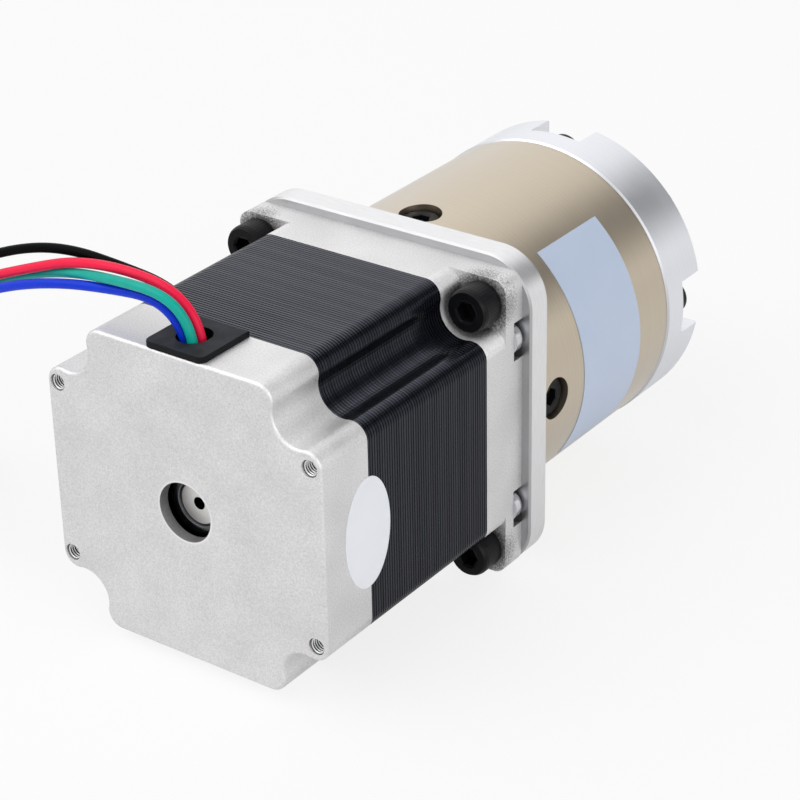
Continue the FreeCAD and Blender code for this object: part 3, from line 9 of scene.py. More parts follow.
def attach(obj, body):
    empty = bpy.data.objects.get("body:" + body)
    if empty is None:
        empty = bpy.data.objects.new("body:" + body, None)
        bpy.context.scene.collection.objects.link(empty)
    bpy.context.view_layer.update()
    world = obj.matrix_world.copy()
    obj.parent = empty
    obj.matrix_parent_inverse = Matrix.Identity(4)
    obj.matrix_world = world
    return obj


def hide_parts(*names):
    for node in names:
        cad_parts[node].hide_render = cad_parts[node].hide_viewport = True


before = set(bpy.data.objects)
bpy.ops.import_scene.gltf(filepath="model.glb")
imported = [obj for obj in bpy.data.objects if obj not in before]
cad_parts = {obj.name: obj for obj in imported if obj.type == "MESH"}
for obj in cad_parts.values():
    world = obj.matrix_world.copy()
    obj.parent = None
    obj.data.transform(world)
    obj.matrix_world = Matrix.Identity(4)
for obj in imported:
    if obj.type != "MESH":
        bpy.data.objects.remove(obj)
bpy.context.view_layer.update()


# Studio
# A white paper floor in a white tent, lit by three soft boxes, with a grey card held up for reflections.
# The camera stands behind the motor, to its right and above it, with a long lens.
def linear(code):
    """The linear values of a colour written in sRGB hex."""
    shares = [int(code[i:i + 2], 16) / 255 for i in (1, 3, 5)]
    return tuple(s / 12.92 if s <= 0.04045 else ((s + 0.055) / 1.055) ** 2.4 for s in shares) + (1.0,)


def add_node(tree, kind, settings=None, links=None):
    """Adds a node with its settings, by socket or property, and the links into it."""
    node = tree.nodes.new(kind)
    for name, value in (settings or {}).items():
        if isinstance(name, int) or name in node.inputs:
            node.inputs[name].default_value = value
        else:
            setattr(node, name, value)
    for name, (source, output) in (links or {}).items():
        tree.links.new(node.inputs[name], source.outputs[output])
    return node


def empty_tree(owner):
    """The node tree of a world or a material, with nothing in it yet."""
    owner.use_nodes = True
    owner.node_tree.nodes.clear()
    return owner.node_tree


def new_material(name):
    """A material, named for what it is made of, and its empty node tree."""
    material = bpy.data.materials.new(name)
    return material, empty_tree(material)


def placed(name, shape, material):
    """Turns a mesh in progress into an object of the scene."""
    piece = bpy.data.objects.new(name, bpy.data.meshes.new(name))
    shape.to_mesh(piece.data)
    shape.free()
    piece.data.materials.append(material)
    scene.collection.objects.link(piece)
    return piece


MM = 0.001
scene = bpy.context.scene
scene.view_settings.view_transform = "Standard"

# The camera was fitted to edges of the photograph. Its lengths are in millimetres.
azimuth = math.radians(36.241)
elevation = math.radians(27.734)
roll = math.radians(-1.188)
camera_distance = 429.32
aim_behind_front = 76.6
aim_right = 11.403
aim_up = 2.437
focal_pixels = 2485.09
picture_pixels = 800
back = Vector((math.sin(azimuth) * math.cos(elevation), -math.cos(azimuth) * math.cos(elevation),
               math.sin(elevation)))
level = Vector((math.cos(azimuth), math.sin(azimuth), 0))
upright = back.cross(level)
aim = Vector((0, -aim_behind_front, 0)) * MM + level * aim_right * MM + upright * aim_up * MM
camera_right = math.cos(roll) * level + math.sin(roll) * upright
camera_up = math.cos(roll) * upright - math.sin(roll) * level
camera = bpy.data.objects.new("camera", bpy.data.cameras.new("camera"))
camera.matrix_world = Matrix.Translation(aim + back * camera_distance * MM) @ Matrix(
    (camera_right, camera_up, back)).transposed().to_4x4()
camera.data.sensor_width = 36.0
camera.data.lens = focal_pixels * camera.data.sensor_width / picture_pixels
camera.data.clip_start = 0.01
scene.collection.objects.link(camera)
scene.camera = camera

# The tent gives a soft light, and is full white where it is seen or mirrored.
tent_light = 0.55
world = bpy.data.worlds.new("white_tent")
scene.world = world
tree = empty_tree(world)
rays = add_node(tree, "ShaderNodeLightPath")
seen = add_node(tree, "ShaderNodeMath", {"operation": "MAXIMUM"},
                {0: (rays, "Is Camera Ray"), 1: (rays, "Is Glossy Ray")})
seen = add_node(tree, "ShaderNodeMath", {"operation": "MAXIMUM"},
                {0: (seen, 0), 1: (rays, "Is Transmission Ray")})
strength = add_node(tree, "ShaderNodeMapRange", {"To Min": tent_light, "To Max": 1.0}, {"Value": (seen, 0)})
tent = add_node(tree, "ShaderNodeBackground", {"Color": (1, 1, 1, 1)}, {"Strength": (strength, 0)})
add_node(tree, "ShaderNodeOutputWorld", links={"Surface": (tent, 0)})

# Matt paper, lifted towards white for the camera and less in reflections, so that soft shadows stay.
floor_height = -30.02 * MM
floor_radius = 4.0
seen_white = 0.82
mirrored_white = 0.35
paper, tree = new_material("white_paper_floor")
rays = add_node(tree, "ShaderNodeLightPath")
mirrored = add_node(tree, "ShaderNodeMath", {"operation": "MAXIMUM"},
                    {0: (rays, "Is Glossy Ray"), 1: (rays, "Is Transmission Ray")})
mirrored = add_node(tree, "ShaderNodeMath", {"operation": "MULTIPLY", 1: mirrored_white}, {0: (mirrored, 0)})
share = add_node(tree, "ShaderNodeMath", {"operation": "MULTIPLY_ADD", 1: seen_white},
                 {0: (rays, "Is Camera Ray"), 2: (mirrored, 0)})
sheet = add_node(tree, "ShaderNodeBsdfDiffuse", {"Color": (0.9, 0.9, 0.9, 1)})
glow = add_node(tree, "ShaderNodeEmission", {"Color": (1, 1, 1, 1), "Strength": 1.0})
mixed = add_node(tree, "ShaderNodeMixShader", links={0: (share, 0), 1: (sheet, 0), 2: (glow, 0)})
add_node(tree, "ShaderNodeOutputMaterial", links={"Surface": (mixed, 0)})
shape = bmesh.new()
bmesh.ops.create_circle(shape, cap_ends=True, segments=96, radius=floor_radius)
bmesh.ops.translate(shape, verts=shape.verts, vec=(0, 0, floor_height))
placed("floor", shape, paper)

# Soft boxes by name, place and width in metres, and power in watts.
soft_boxes = [
    ("key_box", (-0.55, -0.75, 1.0), 1.5, 8.0),
    ("top_box", (-0.6, 0.35, 1.1), 1.4, 1.3),
    ("side_box", (1.2, -0.35, 0.45), 0.9, 4.0),
]
for name, place, width, power in soft_boxes:
    box = bpy.data.objects.new(name, bpy.data.lights.new(name, "AREA"))
    box.data.shape = "DISK"
    box.data.size = width
    box.data.energy = power
    box.location = place
    box.rotation_mode = "QUATERNION"
    box.rotation_quaternion = (Vector(place) - aim).to_track_quat("Z", "Y")
    scene.collection.objects.link(box)

# A grey card that fades out to its rim darkens what the upward faces mirror, without an edge of its own.
card_side = Vector((0.464, 0.713, 0.526))
card_distance = 0.8
card_middle = aim + card_side * card_distance
card_core = 0.05
card_reach = 0.45
card_paint, tree = new_material("grey_card")
place = add_node(tree, "ShaderNodeTexCoord")
away = add_node(tree, "ShaderNodeVectorMath", {"operation": "DISTANCE", 1: card_middle},
                {0: (place, "Object")})
fade = add_node(tree, "ShaderNodeMapRange",
                {"interpolation_type": "SMOOTHSTEP", "From Min": card_core, "From Max": card_reach},
                {"Value": (away, "Value")})
grey = add_node(tree, "ShaderNodeBsdfDiffuse", {"Color": linear("#4C4C50")})
gauze = add_node(tree, "ShaderNodeBsdfTransparent")
mixed = add_node(tree, "ShaderNodeMixShader", links={0: (fade, 0), 1: (grey, 0), 2: (gauze, 0)})
add_node(tree, "ShaderNodeOutputMaterial", links={"Surface": (mixed, 0)})
shape = bmesh.new()
bmesh.ops.create_circle(shape, cap_ends=True, segments=48, radius=card_reach)
bmesh.ops.transform(shape, verts=shape.verts, matrix=Matrix.Translation(card_middle)
                    @ card_side.to_track_quat("Z", "Y").to_matrix().to_4x4())
placed("grey_card", shape, card_paint)


# Leads
# Four stranded copper leads in coloured vinyl insulation, which leave the motor through its grommet.
# They bend over the edge of the cap and hang to the floor, where their spare length is coiled and tied.
def extruded_vinyl(name, colour, shade, shine):
    """Extruded vinyl: a smooth skin, cloudy over a few millimetres, with a soft, uneven gloss."""
    material, tree = new_material(name)
    place = add_node(tree, "ShaderNodeTexCoord")
    cloud = add_node(tree, "ShaderNodeTexNoise", {"Scale": 1 / (4.0 * MM)}, {"Vector": (place, "Object")})
    grain = add_node(tree, "ShaderNodeTexNoise", {"Scale": 1 / (0.35 * MM)}, {"Vector": (place, "Object")})
    tint = add_node(tree, "ShaderNodeMix", {"data_type": "RGBA", 6: linear(colour), 7: linear(shade)},
                    {0: (cloud, "Fac")})
    gloss = add_node(tree, "ShaderNodeMapRange", {"To Min": 0.29, "To Max": 0.37}, {"Value": (cloud, "Fac")})
    uneven = add_node(tree, "ShaderNodeBump", {"Strength": 0.12, "Distance": 0.05 * MM},
                      {"Height": (grain, "Fac")})
    skin = add_node(tree, "ShaderNodeBsdfPrincipled", {"IOR": 1.53, "Specular IOR Level": shine},
                    {"Base Color": (tint, 2), "Roughness": (gloss, 0), "Normal": (uneven, 0)})
    add_node(tree, "ShaderNodeOutputMaterial", links={"Surface": (skin, 0)})
    return material


# Each lead has its colour, the colour of its clouds, its shine and its route to the coil.
rear_face = -116.6
lead_width = 1.7
lead_pitch = 1.75
leads = {
    "blue": ("#063EE4", "#0432CC", 0.16, [
        (-1.2, 4.8, 22.5), (-1.2, 4.8, 27.3), (-3.2, 4.6, 32.2), (-7.9, 4.2, 34.8), (-16.9, 4.6, 33.7),
        (-26.0, 3.3, 32.9), (-36.5, 3.4, 29.9), (-46.5, 3.6, 25.6), (-56.0, 4.0, 18.8), (-62.0, 4.4, 7.5),
        (-66.0, 4.8, -7.0), (-70.5, 5.1, -20.5), (-77.5, 5.1, -27.5), (-86.0, 5.1, -28.25)]),
    "green": ("#10BCA8", "#08A294", 0.2, [
        (0.6, 4.4, 22.5), (0.6, 4.4, 27.9), (-1.2, 4.1, 33.5), (-4.9, 3.0, 36.7), (-13.2, 3.4, 36.4),
        (-24.7, 5.2, 34.4), (-36.0, 6.8, 30.8), (-46.5, 7.1, 26.4), (-57.5, 6.7, 19.5), (-64.0, 6.2, 8.0),
        (-68.0, 5.8, -6.0), (-72.5, 5.3, -19.0), (-78.8, 5.1, -25.7), (-86.0, 5.1, -26.5)]),
    "red": ("#FF2450", "#F81A46", 0.16, [
        (0.9, 6.2, 22.5), (0.9, 6.2, 28.2), (-1.5, 6.1, 33.8), (-6.6, 5.9, 36.7), (-15.5, 5.5, 37.4),
        (-25.2, 5.3, 36.2), (-34.5, 5.0, 32.8), (-46.0, 5.1, 28.0), (-58.5, 5.1, 21.8), (-66.0, 5.1, 9.3),
        (-70.3, 5.1, -4.8), (-74.5, 5.1, -17.4), (-80.0, 5.1, -23.9), (-86.0, 5.1, -24.75)]),
    "black": ("#050608", "#020304", 0.03, [
        (-0.8, 7.6, 22.5), (-0.8, 7.6, 28.0), (-2.9, 7.7, 32.8), (-7.9, 7.8, 35.6), (-16.5, 7.7, 36.4),
        (-27.0, 7.6, 36.9), (-37.0, 7.6, 35.0), (-48.5, 7.5, 30.3), (-60.5, 7.2, 23.8), (-68.2, 6.6, 10.8),
        (-72.6, 6.0, -3.6), (-76.5, 5.4, -15.8), (-81.3, 5.1, -22.0), (-86.0, 5.1, -23.0)]),
}


def in_frame(spot):
    """A point measured in millimetres from the motor's rear face, in the shared frame."""
    return Vector((spot[0], spot[1] + rear_face, spot[2])) * MM


def round_the_coil(angle, radius, height):
    """A point of the lead coil by its angle, radius and height."""
    return in_frame(coil_place + Vector((radius * math.cos(angle), radius * math.sin(angle), height)))


def only(kind, geom):
    """What is of one kind, vertices or edges, in what an operator made."""
    return [element for element in geom if isinstance(element, kind)]


def edges_at(verts):
    """The edges that meet at some vertices, each once."""
    return list(dict.fromkeys(edge for vert in verts for edge in vert.link_edges))


def finished(name, shape, material, slot, *stands_for):
    """Makes a mesh in progress a piece of the motor's frame, which may stand for CAD nodes."""
    bmesh.ops.recalc_face_normals(shape, faces=shape.faces)
    piece = placed(name, shape, material)
    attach(piece, "motor_frame")
    if stands_for:
        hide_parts(*stands_for)
    return piece


# Tinned copper: fine silvery strands with a few warmer streaks and a soft glint.
tinned_copper, tree = new_material("tinned_copper_strands")
place = add_node(tree, "ShaderNodeTexCoord")
streak = add_node(tree, "ShaderNodeTexNoise", {"Scale": 1 / (0.6 * MM)}, {"Vector": (place, "Object")})
tone = add_node(tree, "ShaderNodeMix", {"data_type": "RGBA", 6: linear("#C9C8C6"), 7: linear("#A9A39B")},
                {0: (streak, "Fac")})
wire = add_node(tree, "ShaderNodeBsdfPrincipled", {"Metallic": 1.0, "Roughness": 0.32},
                {"Base Color": (tone, 2)})
add_node(tree, "ShaderNodeOutputMaterial", links={"Surface": (wire, 0)})

# Each lead joins the coil at its rear and winds inwards in a layer of its own, and the bare ends fan out.
coil_place = Vector((-86.0, 17.5, 0))
coil_radius = 12.4
coil_turns = 2.75
inner_radius = coil_radius - lead_pitch * coil_turns
first = math.radians(-90)
turn_points = 16
fan = math.radians(14)
end_turn = math.radians(135)
end_straight = 0.7
tip_radius = 0.5
tip_length = 6.0
tip_twist = math.radians(300)
tip_steps = 14
strands = 6
strand_radius = tip_radius * 0.34
up = Vector((0, 0, 1))
tips = bmesh.new()
for layer, (colour, (bright, shade, shine, route)) in enumerate(leads.items()):
    height = route[-1][2]
    side = -fan * layer
    last = side - 2 * math.pi * math.ceil(coil_turns)
    steps = math.ceil((first - last) / (2 * math.pi) * turn_points)
    points = [in_frame(spot) for spot in route[:-1]]
    for k in range(steps):
        angle = first + (last - first) * k / steps
        radius = coil_radius + lead_pitch * (angle - first) / (2 * math.pi)
        points.append(round_the_coil(angle, radius / math.cos(math.pi / turn_points), height))
    root = round_the_coil(side, inner_radius - lead_width / 4, height)
    inwards = Vector((math.cos(side - end_turn), math.sin(side - end_turn), 0))
    points += [root - inwards * end_straight * MM, root]
    line = bpy.data.curves.new(f"lead_{colour}_wire", "CURVE")
    line.dimensions = "3D"
    line.bevel_depth = lead_width / 2 * MM
    line.bevel_resolution = 5
    line.resolution_u = 8
    line.use_fill_caps = True
    spline = line.splines.new("NURBS")
    spline.points.add(len(points) - 1)
    for knot, point in zip(spline.points, points):
        knot.co = (*point, 1.0)
    spline.order_u = 3
    spline.use_endpoint_u = True
    lead = bpy.data.objects.new(f"lead_{colour}_wire", line)
    lead.data.materials.append(extruded_vinyl(f"extruded_vinyl_{colour}", bright, shade, shine))
    scene.collection.objects.link(lead)
    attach(lead, "motor_frame")
    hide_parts(f"lead_{colour}")
    across = inwards.cross(up)
    for strand in range(strands):
        turn = 2 * math.pi * strand / strands
        offset = (across * math.cos(turn) + up * math.sin(turn)) * (tip_radius - strand_radius) * MM
        ring = bmesh.ops.create_circle(tips, cap_ends=False, segments=6, radius=strand_radius * MM)["verts"]
        stand = Matrix.Translation(root + offset) @ inwards.to_track_quat("Z", "Y").to_matrix().to_4x4()
        bmesh.ops.transform(tips, verts=ring, matrix=stand)
        edges = edges_at(ring)
        bmesh.ops.contextual_create(tips, geom=edges)
        twisted = bmesh.ops.spin(tips, geom=edges, cent=root, axis=inwards, angle=tip_twist, steps=tip_steps,
                                 dvec=inwards * tip_length / tip_steps * MM)
        bmesh.ops.contextual_create(tips, geom=only(BMEdge, twisted["geom_last"]))
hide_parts("lead_coil")
tip_piece = finished("bare_lead_tips", tips, tinned_copper, "tinned_copper", "lead_tips")

# Moulded black nylon: a soft sheen over a faint grain.
nylon, tree = new_material("black_nylon_tie")
place = add_node(tree, "ShaderNodeTexCoord")
grain = add_node(tree, "ShaderNodeTexNoise", {"Scale": 1 / (0.4 * MM)}, {"Vector": (place, "Object")})
tone = add_node(tree, "ShaderNodeMix", {"data_type": "RGBA", 6: linear("#1A1B1D"), 7: linear("#252629")},
                {0: (grain, "Fac")})
moulded = add_node(tree, "ShaderNodeBump", {"Strength": 0.15, "Distance": 0.04 * MM},
                   {"Height": (grain, "Fac")})
skin = add_node(tree, "ShaderNodeBsdfPrincipled",
                {"Roughness": 0.42, "IOR": 1.53, "Specular IOR Level": 0.25},
                {"Base Color": (tone, 2), "Normal": (moulded, 0)})
add_node(tree, "ShaderNodeOutputMaterial", links={"Surface": (skin, 0)})

# The tie is a band bent round the section of the coil, with its head on top.
corners = ((1, 1), (-1, 1), (-1, -1), (1, -1))
tie_wide = 2.6
tie_thick = 0.8
tie_corner = 0.8
tie_play = 0.1
tie_head = (4.2, 3.8, 2.6)
tie_head_rise = 1.6
tie_head_edge = 0.35
tie_angle = math.radians(200)
coil_floor = -28.25
coil_wide = coil_radius - inner_radius + lead_width + tie_play
coil_tall = lead_pitch * (len(leads) - 1) + lead_width + tie_play
tie = bmesh.new()
tie.faces.new([tie.verts.new((x * coil_wide / 2, 0, z * coil_tall / 2)) for x, z in corners])
bmesh.ops.bevel(tie, geom=tie.verts[:], offset=tie_corner, segments=4, profile=0.5, affect="VERTICES",
                material=-1)
bmesh.ops.delete(tie, geom=tie.faces[:], context="FACES_ONLY")
band = bmesh.ops.extrude_edge_only(tie, edges=tie.edges[:])["geom"]
bmesh.ops.translate(tie, verts=only(BMVert, band), vec=(0, tie_wide, 0))
bmesh.ops.recalc_face_normals(tie, faces=tie.faces)
bmesh.ops.solidify(tie, geom=tie.faces[:], thickness=-tie_thick)
bmesh.ops.translate(tie, verts=tie.verts, vec=(0, -tie_wide / 2, 0))
head = bmesh.ops.create_cube(tie, size=1.0)["verts"]
bmesh.ops.scale(tie, verts=head, vec=tie_head)
bmesh.ops.translate(tie, verts=head, vec=(0, 0, coil_tall / 2 + tie_head_rise))
bmesh.ops.bevel(tie, geom=edges_at(head), offset=tie_head_edge, segments=2, profile=0.5, affect="EDGES",
                material=-1)
coil_middle = in_frame(coil_place + Vector((0, 0, coil_floor + lead_pitch * (len(leads) - 1) / 2)))
bmesh.ops.transform(tie, verts=tie.verts,
                    matrix=Matrix.Translation(coil_middle) @ Matrix.Rotation(tie_angle, 4, "Z")
                    @ Matrix.Scale(MM, 4) @ Matrix.Translation(((coil_radius + inner_radius) / 2, 0, 0)))
tie_piece = finished("lead_coil_tie", tie, nylon, "tie_nylon", "coil_tie")


# Rear end cap
# A die cast aluminium cup that closes the motor's rear and holds the rear bearing, sand blasted all over.
# Four tapped holes near its corners show the turns of their threads.
def dress(material, *nodes):
    """Gives CAD nodes a finish."""
    for name in nodes:
        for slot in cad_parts[name].material_slots:
            slot.material = material


def ease_edges(width_mm, *nodes):
    """Breaks the sharp edges of CAD nodes, as blasting or a file leaves them."""
    for name in nodes:
        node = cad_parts[name]
        weld = node.modifiers.new("weld", "WELD")
        weld.merge_threshold = 0.001 * MM
        eased = node.modifiers.new("eased_edges", "BEVEL")
        eased.width = width_mm * MM
        eased.segments = 2
        eased.limit_method = "ANGLE"
        eased.angle_limit = math.radians(50)


# Blasted aluminium: a pale, fine grain with no sharp reflections, a little worn in patches.
# The window's wall has painted shade inside a ragged rim of painted highlight; the metal is darker round the
# bolts.
flange_rear = 51.0
bolt_place = 23.57
bolt_seat = Vector((bolt_place, abs(flange_rear + rear_face), bolt_place)) * MM
window_radius = 5.3
wall_shade = 0.42
rim_light = 1.2
rim_ragged = 1.2
bolt_ring_dark = 0.3
bolt_ring_ragged = 5.0
cast_aluminium, tree = new_material("sand_blasted_cast_aluminium")
place = add_node(tree, "ShaderNodeTexCoord")
grit = add_node(tree, "ShaderNodeTexNoise", {"Scale": 1 / (0.3 * MM), "Detail": 4.0},
                {"Vector": (place, "Object")})
cloud = add_node(tree, "ShaderNodeTexNoise", {"Scale": 1 / (9.0 * MM)}, {"Vector": (place, "Object")})
tone = add_node(tree, "ShaderNodeMix", {"data_type": "RGBA", 6: linear("#BEBDBE"), 7: linear("#F0EFEF")},
                {0: (grit, "Fac")})
split = add_node(tree, "ShaderNodeSeparateXYZ", links={"Vector": (place, "Object")})
across = add_node(tree, "ShaderNodeCombineXYZ", links={"X": (split, "X"), "Y": (split, "Z")})
radius = add_node(tree, "ShaderNodeVectorMath", {"operation": "LENGTH"}, {0: (across, 0)})
# Painted shade: the colour inside the window's radius is darkened.
wall = add_node(tree, "ShaderNodeMapRange",
                {"From Min": window_radius * MM, "From Max": (window_radius + 0.1) * MM,
                 "To Min": wall_shade},
                {"Value": (radius, "Value")})
# Painted highlight: a ragged ring at the window's rim is brightened.
burr = add_node(tree, "ShaderNodeMath", {"operation": "MULTIPLY_ADD", 1: rim_ragged * MM},
                {0: (grit, "Fac"), 2: (radius, "Value")})
rim = add_node(tree, "ShaderNodeMapRange",
               {"From Min": (window_radius + 0.7) * MM, "From Max": (window_radius + 1.1) * MM,
                "To Min": rim_light, "To Max": 1.0},
               {"Value": (burr, 0)})
# The metal is darkened in a ragged ring round the seat of each bolt.
quarter = add_node(tree, "ShaderNodeVectorMath", {"operation": "ABSOLUTE"}, {0: (place, "Object")})
reach = add_node(tree, "ShaderNodeVectorMath", {"operation": "DISTANCE", 1: bolt_seat}, {0: (quarter, 0)})
ragged = add_node(tree, "ShaderNodeMath", {"operation": "MULTIPLY_ADD", 1: bolt_ring_ragged * MM},
                  {0: (grit, "Fac"), 2: (reach, "Value")})
oil_film_and_bolt_ring = add_node(tree, "ShaderNodeMapRange",
                 {"From Min": 6.4 * MM, "From Max": 8.4 * MM, "To Min": bolt_ring_dark}, {"Value": (ragged, 0)})
worn = add_node(tree, "ShaderNodeMapRange", {"To Min": 0.92, "To Max": 1.12}, {"Value": (cloud, "Fac")})
dimmed = wall
for part in (rim, oil_film_and_bolt_ring, worn):
    dimmed = add_node(tree, "ShaderNodeMath", {"operation": "MULTIPLY"}, {0: (dimmed, 0), 1: (part, 0)})
tone = add_node(tree, "ShaderNodeVectorMath", {"operation": "SCALE"}, {0: (tone, 2), "Scale": (dimmed, 0)})
patch = add_node(tree, "ShaderNodeMapRange",
                 {"From Min": 0.3, "From Max": 0.7, "To Min": 0.52, "To Max": 0.62},
                 {"Value": (cloud, "Fac")})
blasted = add_node(tree, "ShaderNodeBump", {"Strength": 0.25, "Distance": 0.06 * MM},
                   {"Height": (grit, "Fac")})
metal = add_node(tree, "ShaderNodeBsdfPrincipled", {"Metallic": 1.0},
                 {"Base Color": (tone, 0), "Roughness": (patch, 0), "Normal": (blasted, 0)})
add_node(tree, "ShaderNodeOutputMaterial", links={"Surface": (metal, 0)})
dress(cast_aluminium, "rear_end_cap")
ease_edges(0.25, "rear_end_cap")


def tapped_metal(name, x, z, root, crest):
    """Cut thread in four like holes: bright on its crests, dark in its roots with oil and painted shade."""
    material, tree = new_material(name)
    place = add_node(tree, "ShaderNodeTexCoord")
    quarter = add_node(tree, "ShaderNodeVectorMath", {"operation": "ABSOLUTE"}, {0: (place, "Object")})
    offset = add_node(tree, "ShaderNodeVectorMath", {"operation": "SUBTRACT", 1: Vector((x, 0, z)) * MM},
                      {0: (quarter, 0)})
    offset = add_node(tree, "ShaderNodeVectorMath", {"operation": "MULTIPLY", 1: (1, 0, 1)},
                      {0: (offset, 0)})
    depth = add_node(tree, "ShaderNodeVectorMath", {"operation": "LENGTH"}, {0: (offset, 0)})
    # Painted shade: the deeper into the thread, the darker the colour.
    sunk = add_node(tree, "ShaderNodeMapRange",
                    {"From Min": (crest + 0.06) * MM, "From Max": (root - 0.08) * MM},
                    {"Value": (depth, "Value")})
    tone = add_node(tree, "ShaderNodeMix",
                    {"data_type": "RGBA", 6: linear("#E8E8E9"), 7: linear("#2A2A2B")}, {0: (sunk, 0)})
    metal = add_node(tree, "ShaderNodeBsdfPrincipled", {"Metallic": 1.0, "Roughness": 0.35},
                     {"Base Color": (tone, 2)})
    add_node(tree, "ShaderNodeOutputMaterial", links={"Surface": (metal, 0)})
    return material


def cut_threads(name, material, slot, x, z, root, crest, start, pitch, turns):
    """The ridges of the threads in four like holes, each wound along the axis from its start."""
    turn_steps = 24
    ridge = [(root, 0.0), (crest, pitch * 0.4), (crest, pitch * 0.5), (root, pitch * 0.9), (root, pitch)]
    shape = bmesh.new()
    for right, upper in corners:
        hole = Vector((right * x, start, upper * z))
        section = shape.faces.new([shape.verts.new(in_frame(hole + Vector((r, s, 0)))) for r, s in ridge])
        bmesh.ops.spin(shape, geom=[section], cent=in_frame(hole), axis=(0, 1, 0), angle=2 * math.pi * turns,
                       steps=int(turn_steps * turns), dvec=(0, pitch / turn_steps * MM, 0))
    finished(name, shape, tapped_metal(material, x, z, root, crest), slot)


cut_threads("rear_screw_threads", "tapped_cast_aluminium", "cast_aluminium", x=26.0, z=16.2, root=1.52,
            crest=1.2, start=0.15, pitch=0.5, turns=6.5)


# Lead grommet
# A moulded black rubber plate on top of the rear cap, with a stem through the cap's wall.
# The leads come out of its one oval hole.
def holed_plate(shape, sides, ends, top, thickness, corner_radius, edge):
    """A plate with rounded rear corners and the oval lead hole, given by its reach to the sides and ends."""
    hole_radius = 2.85
    hole_stretch = 0.3
    hole_place = (-0.75, 5.9, top)
    left, right = sides
    rear, front = ends
    places = ((left, rear), (right, rear), (right, front), (left, front))
    outline = [shape.verts.new((x, y, top)) for x, y in places]
    shape.faces.new(outline)
    bmesh.ops.bevel(shape, geom=outline[:2], offset=corner_radius, segments=4, profile=0.5,
                    affect="VERTICES", material=-1)
    border = [e for e in shape.edges if all(abs(v.co.z - top) < 1e-6 for v in e.verts)]
    bmesh.ops.delete(shape, geom=[f for f in shape.faces if abs(f.calc_center_median().z - top) < 1e-6],
                     context="FACES_ONLY")
    oval = bmesh.ops.create_circle(shape, cap_ends=False, segments=40, radius=hole_radius)["verts"]
    for vert in oval:
        vert.co.y += math.copysign(hole_stretch, vert.co.y)
    bmesh.ops.translate(shape, verts=oval, vec=hole_place)
    flat = bmesh.ops.bridge_loops(shape, edges=border + edges_at(oval))["faces"]
    grown = bmesh.ops.extrude_face_region(shape, geom=flat, use_keep_orig=True)["geom"]
    bmesh.ops.translate(shape, verts=only(BMVert, grown), vec=(0, 0, -thickness))
    bmesh.ops.recalc_face_normals(shape, faces=shape.faces)
    bmesh.ops.bevel(shape, geom=[e for e in border if e.is_valid], offset=edge, segments=2, profile=0.5,
                    affect="EDGES", material=-1)


# Moulded rubber: dull black with a faint bloom and pits, and painted light in patches where it faces up.
rubber, tree = new_material("moulded_black_rubber")
place = add_node(tree, "ShaderNodeTexCoord")
bloom = add_node(tree, "ShaderNodeTexNoise", {"Scale": 1 / (2.5 * MM)}, {"Vector": (place, "Object")})
grain = add_node(tree, "ShaderNodeTexNoise", {"Scale": 1 / (0.2 * MM), "Detail": 3.0},
                 {"Vector": (place, "Object")})
tone = add_node(tree, "ShaderNodeMix", {"data_type": "RGBA", 6: linear("#07080A"), 7: linear("#111317")},
                {0: (bloom, "Fac")})
# Painted light: faces that point up are lightened, in patches.
facing = add_node(tree, "ShaderNodeSeparateXYZ", links={"Vector": (place, "Normal")})
painted_top_light = add_node(tree, "ShaderNodeMapRange", {"From Min": 0.7, "From Max": 1.0, "To Max": 0.8},
                 {"Value": (facing, "Z")})
painted_top_light = add_node(tree, "ShaderNodeMath", {"operation": "MULTIPLY"}, {0: (painted_top_light, 0), 1: (bloom, "Fac")})
tone = add_node(tree, "ShaderNodeMix", {"data_type": "RGBA", 7: linear("#3E4148")},
                {0: (painted_top_light, 0), 6: (tone, 2)})
dull = add_node(tree, "ShaderNodeMapRange", {"To Min": 0.5, "To Max": 0.68}, {"Value": (grain, "Fac")})
pitted = add_node(tree, "ShaderNodeBump", {"Strength": 0.25, "Distance": 0.04 * MM},
                  {"Height": (grain, "Fac")})
skin = add_node(tree, "ShaderNodeBsdfPrincipled", {"IOR": 1.52, "Specular IOR Level": 0.14},
                {"Base Color": (tone, 2), "Roughness": (dull, 0), "Normal": (pitted, 0)})
add_node(tree, "ShaderNodeOutputMaterial", links={"Surface": (skin, 0)})

grommet = bmesh.new()
holed_plate(grommet, sides=(-6.5, 5.5), ends=(0.1, 11.9), top=29.3, thickness=1.1, corner_radius=1.2,
            edge=0.15)
holed_plate(grommet, sides=(-4.6, 3.6), ends=(1.95, 10.9), top=28.25, thickness=5.0, corner_radius=0.4,
            edge=0.02)
bmesh.ops.translate(grommet, verts=grommet.verts, vec=(0, rear_face, 0))
bmesh.ops.scale(grommet, verts=grommet.verts, vec=(MM, MM, MM))
finished("rubber_lead_grommet", grommet, rubber, "grommet_rubber", "lead_grommet")


# Stator core
# A pack of punched steel sheets, lacquered black, whose edges show as fine lines round the motor.
# The sheets are half a millimetre thick; they are drawn a little coarser here, so that the lines show.
core_rear = 12.0
core_length = 33.3
core_half_width = 28.2
sheet_count = 51
sheet_pitch = core_length / sheet_count
groove_share = 0.36
groove_depth = 0.12

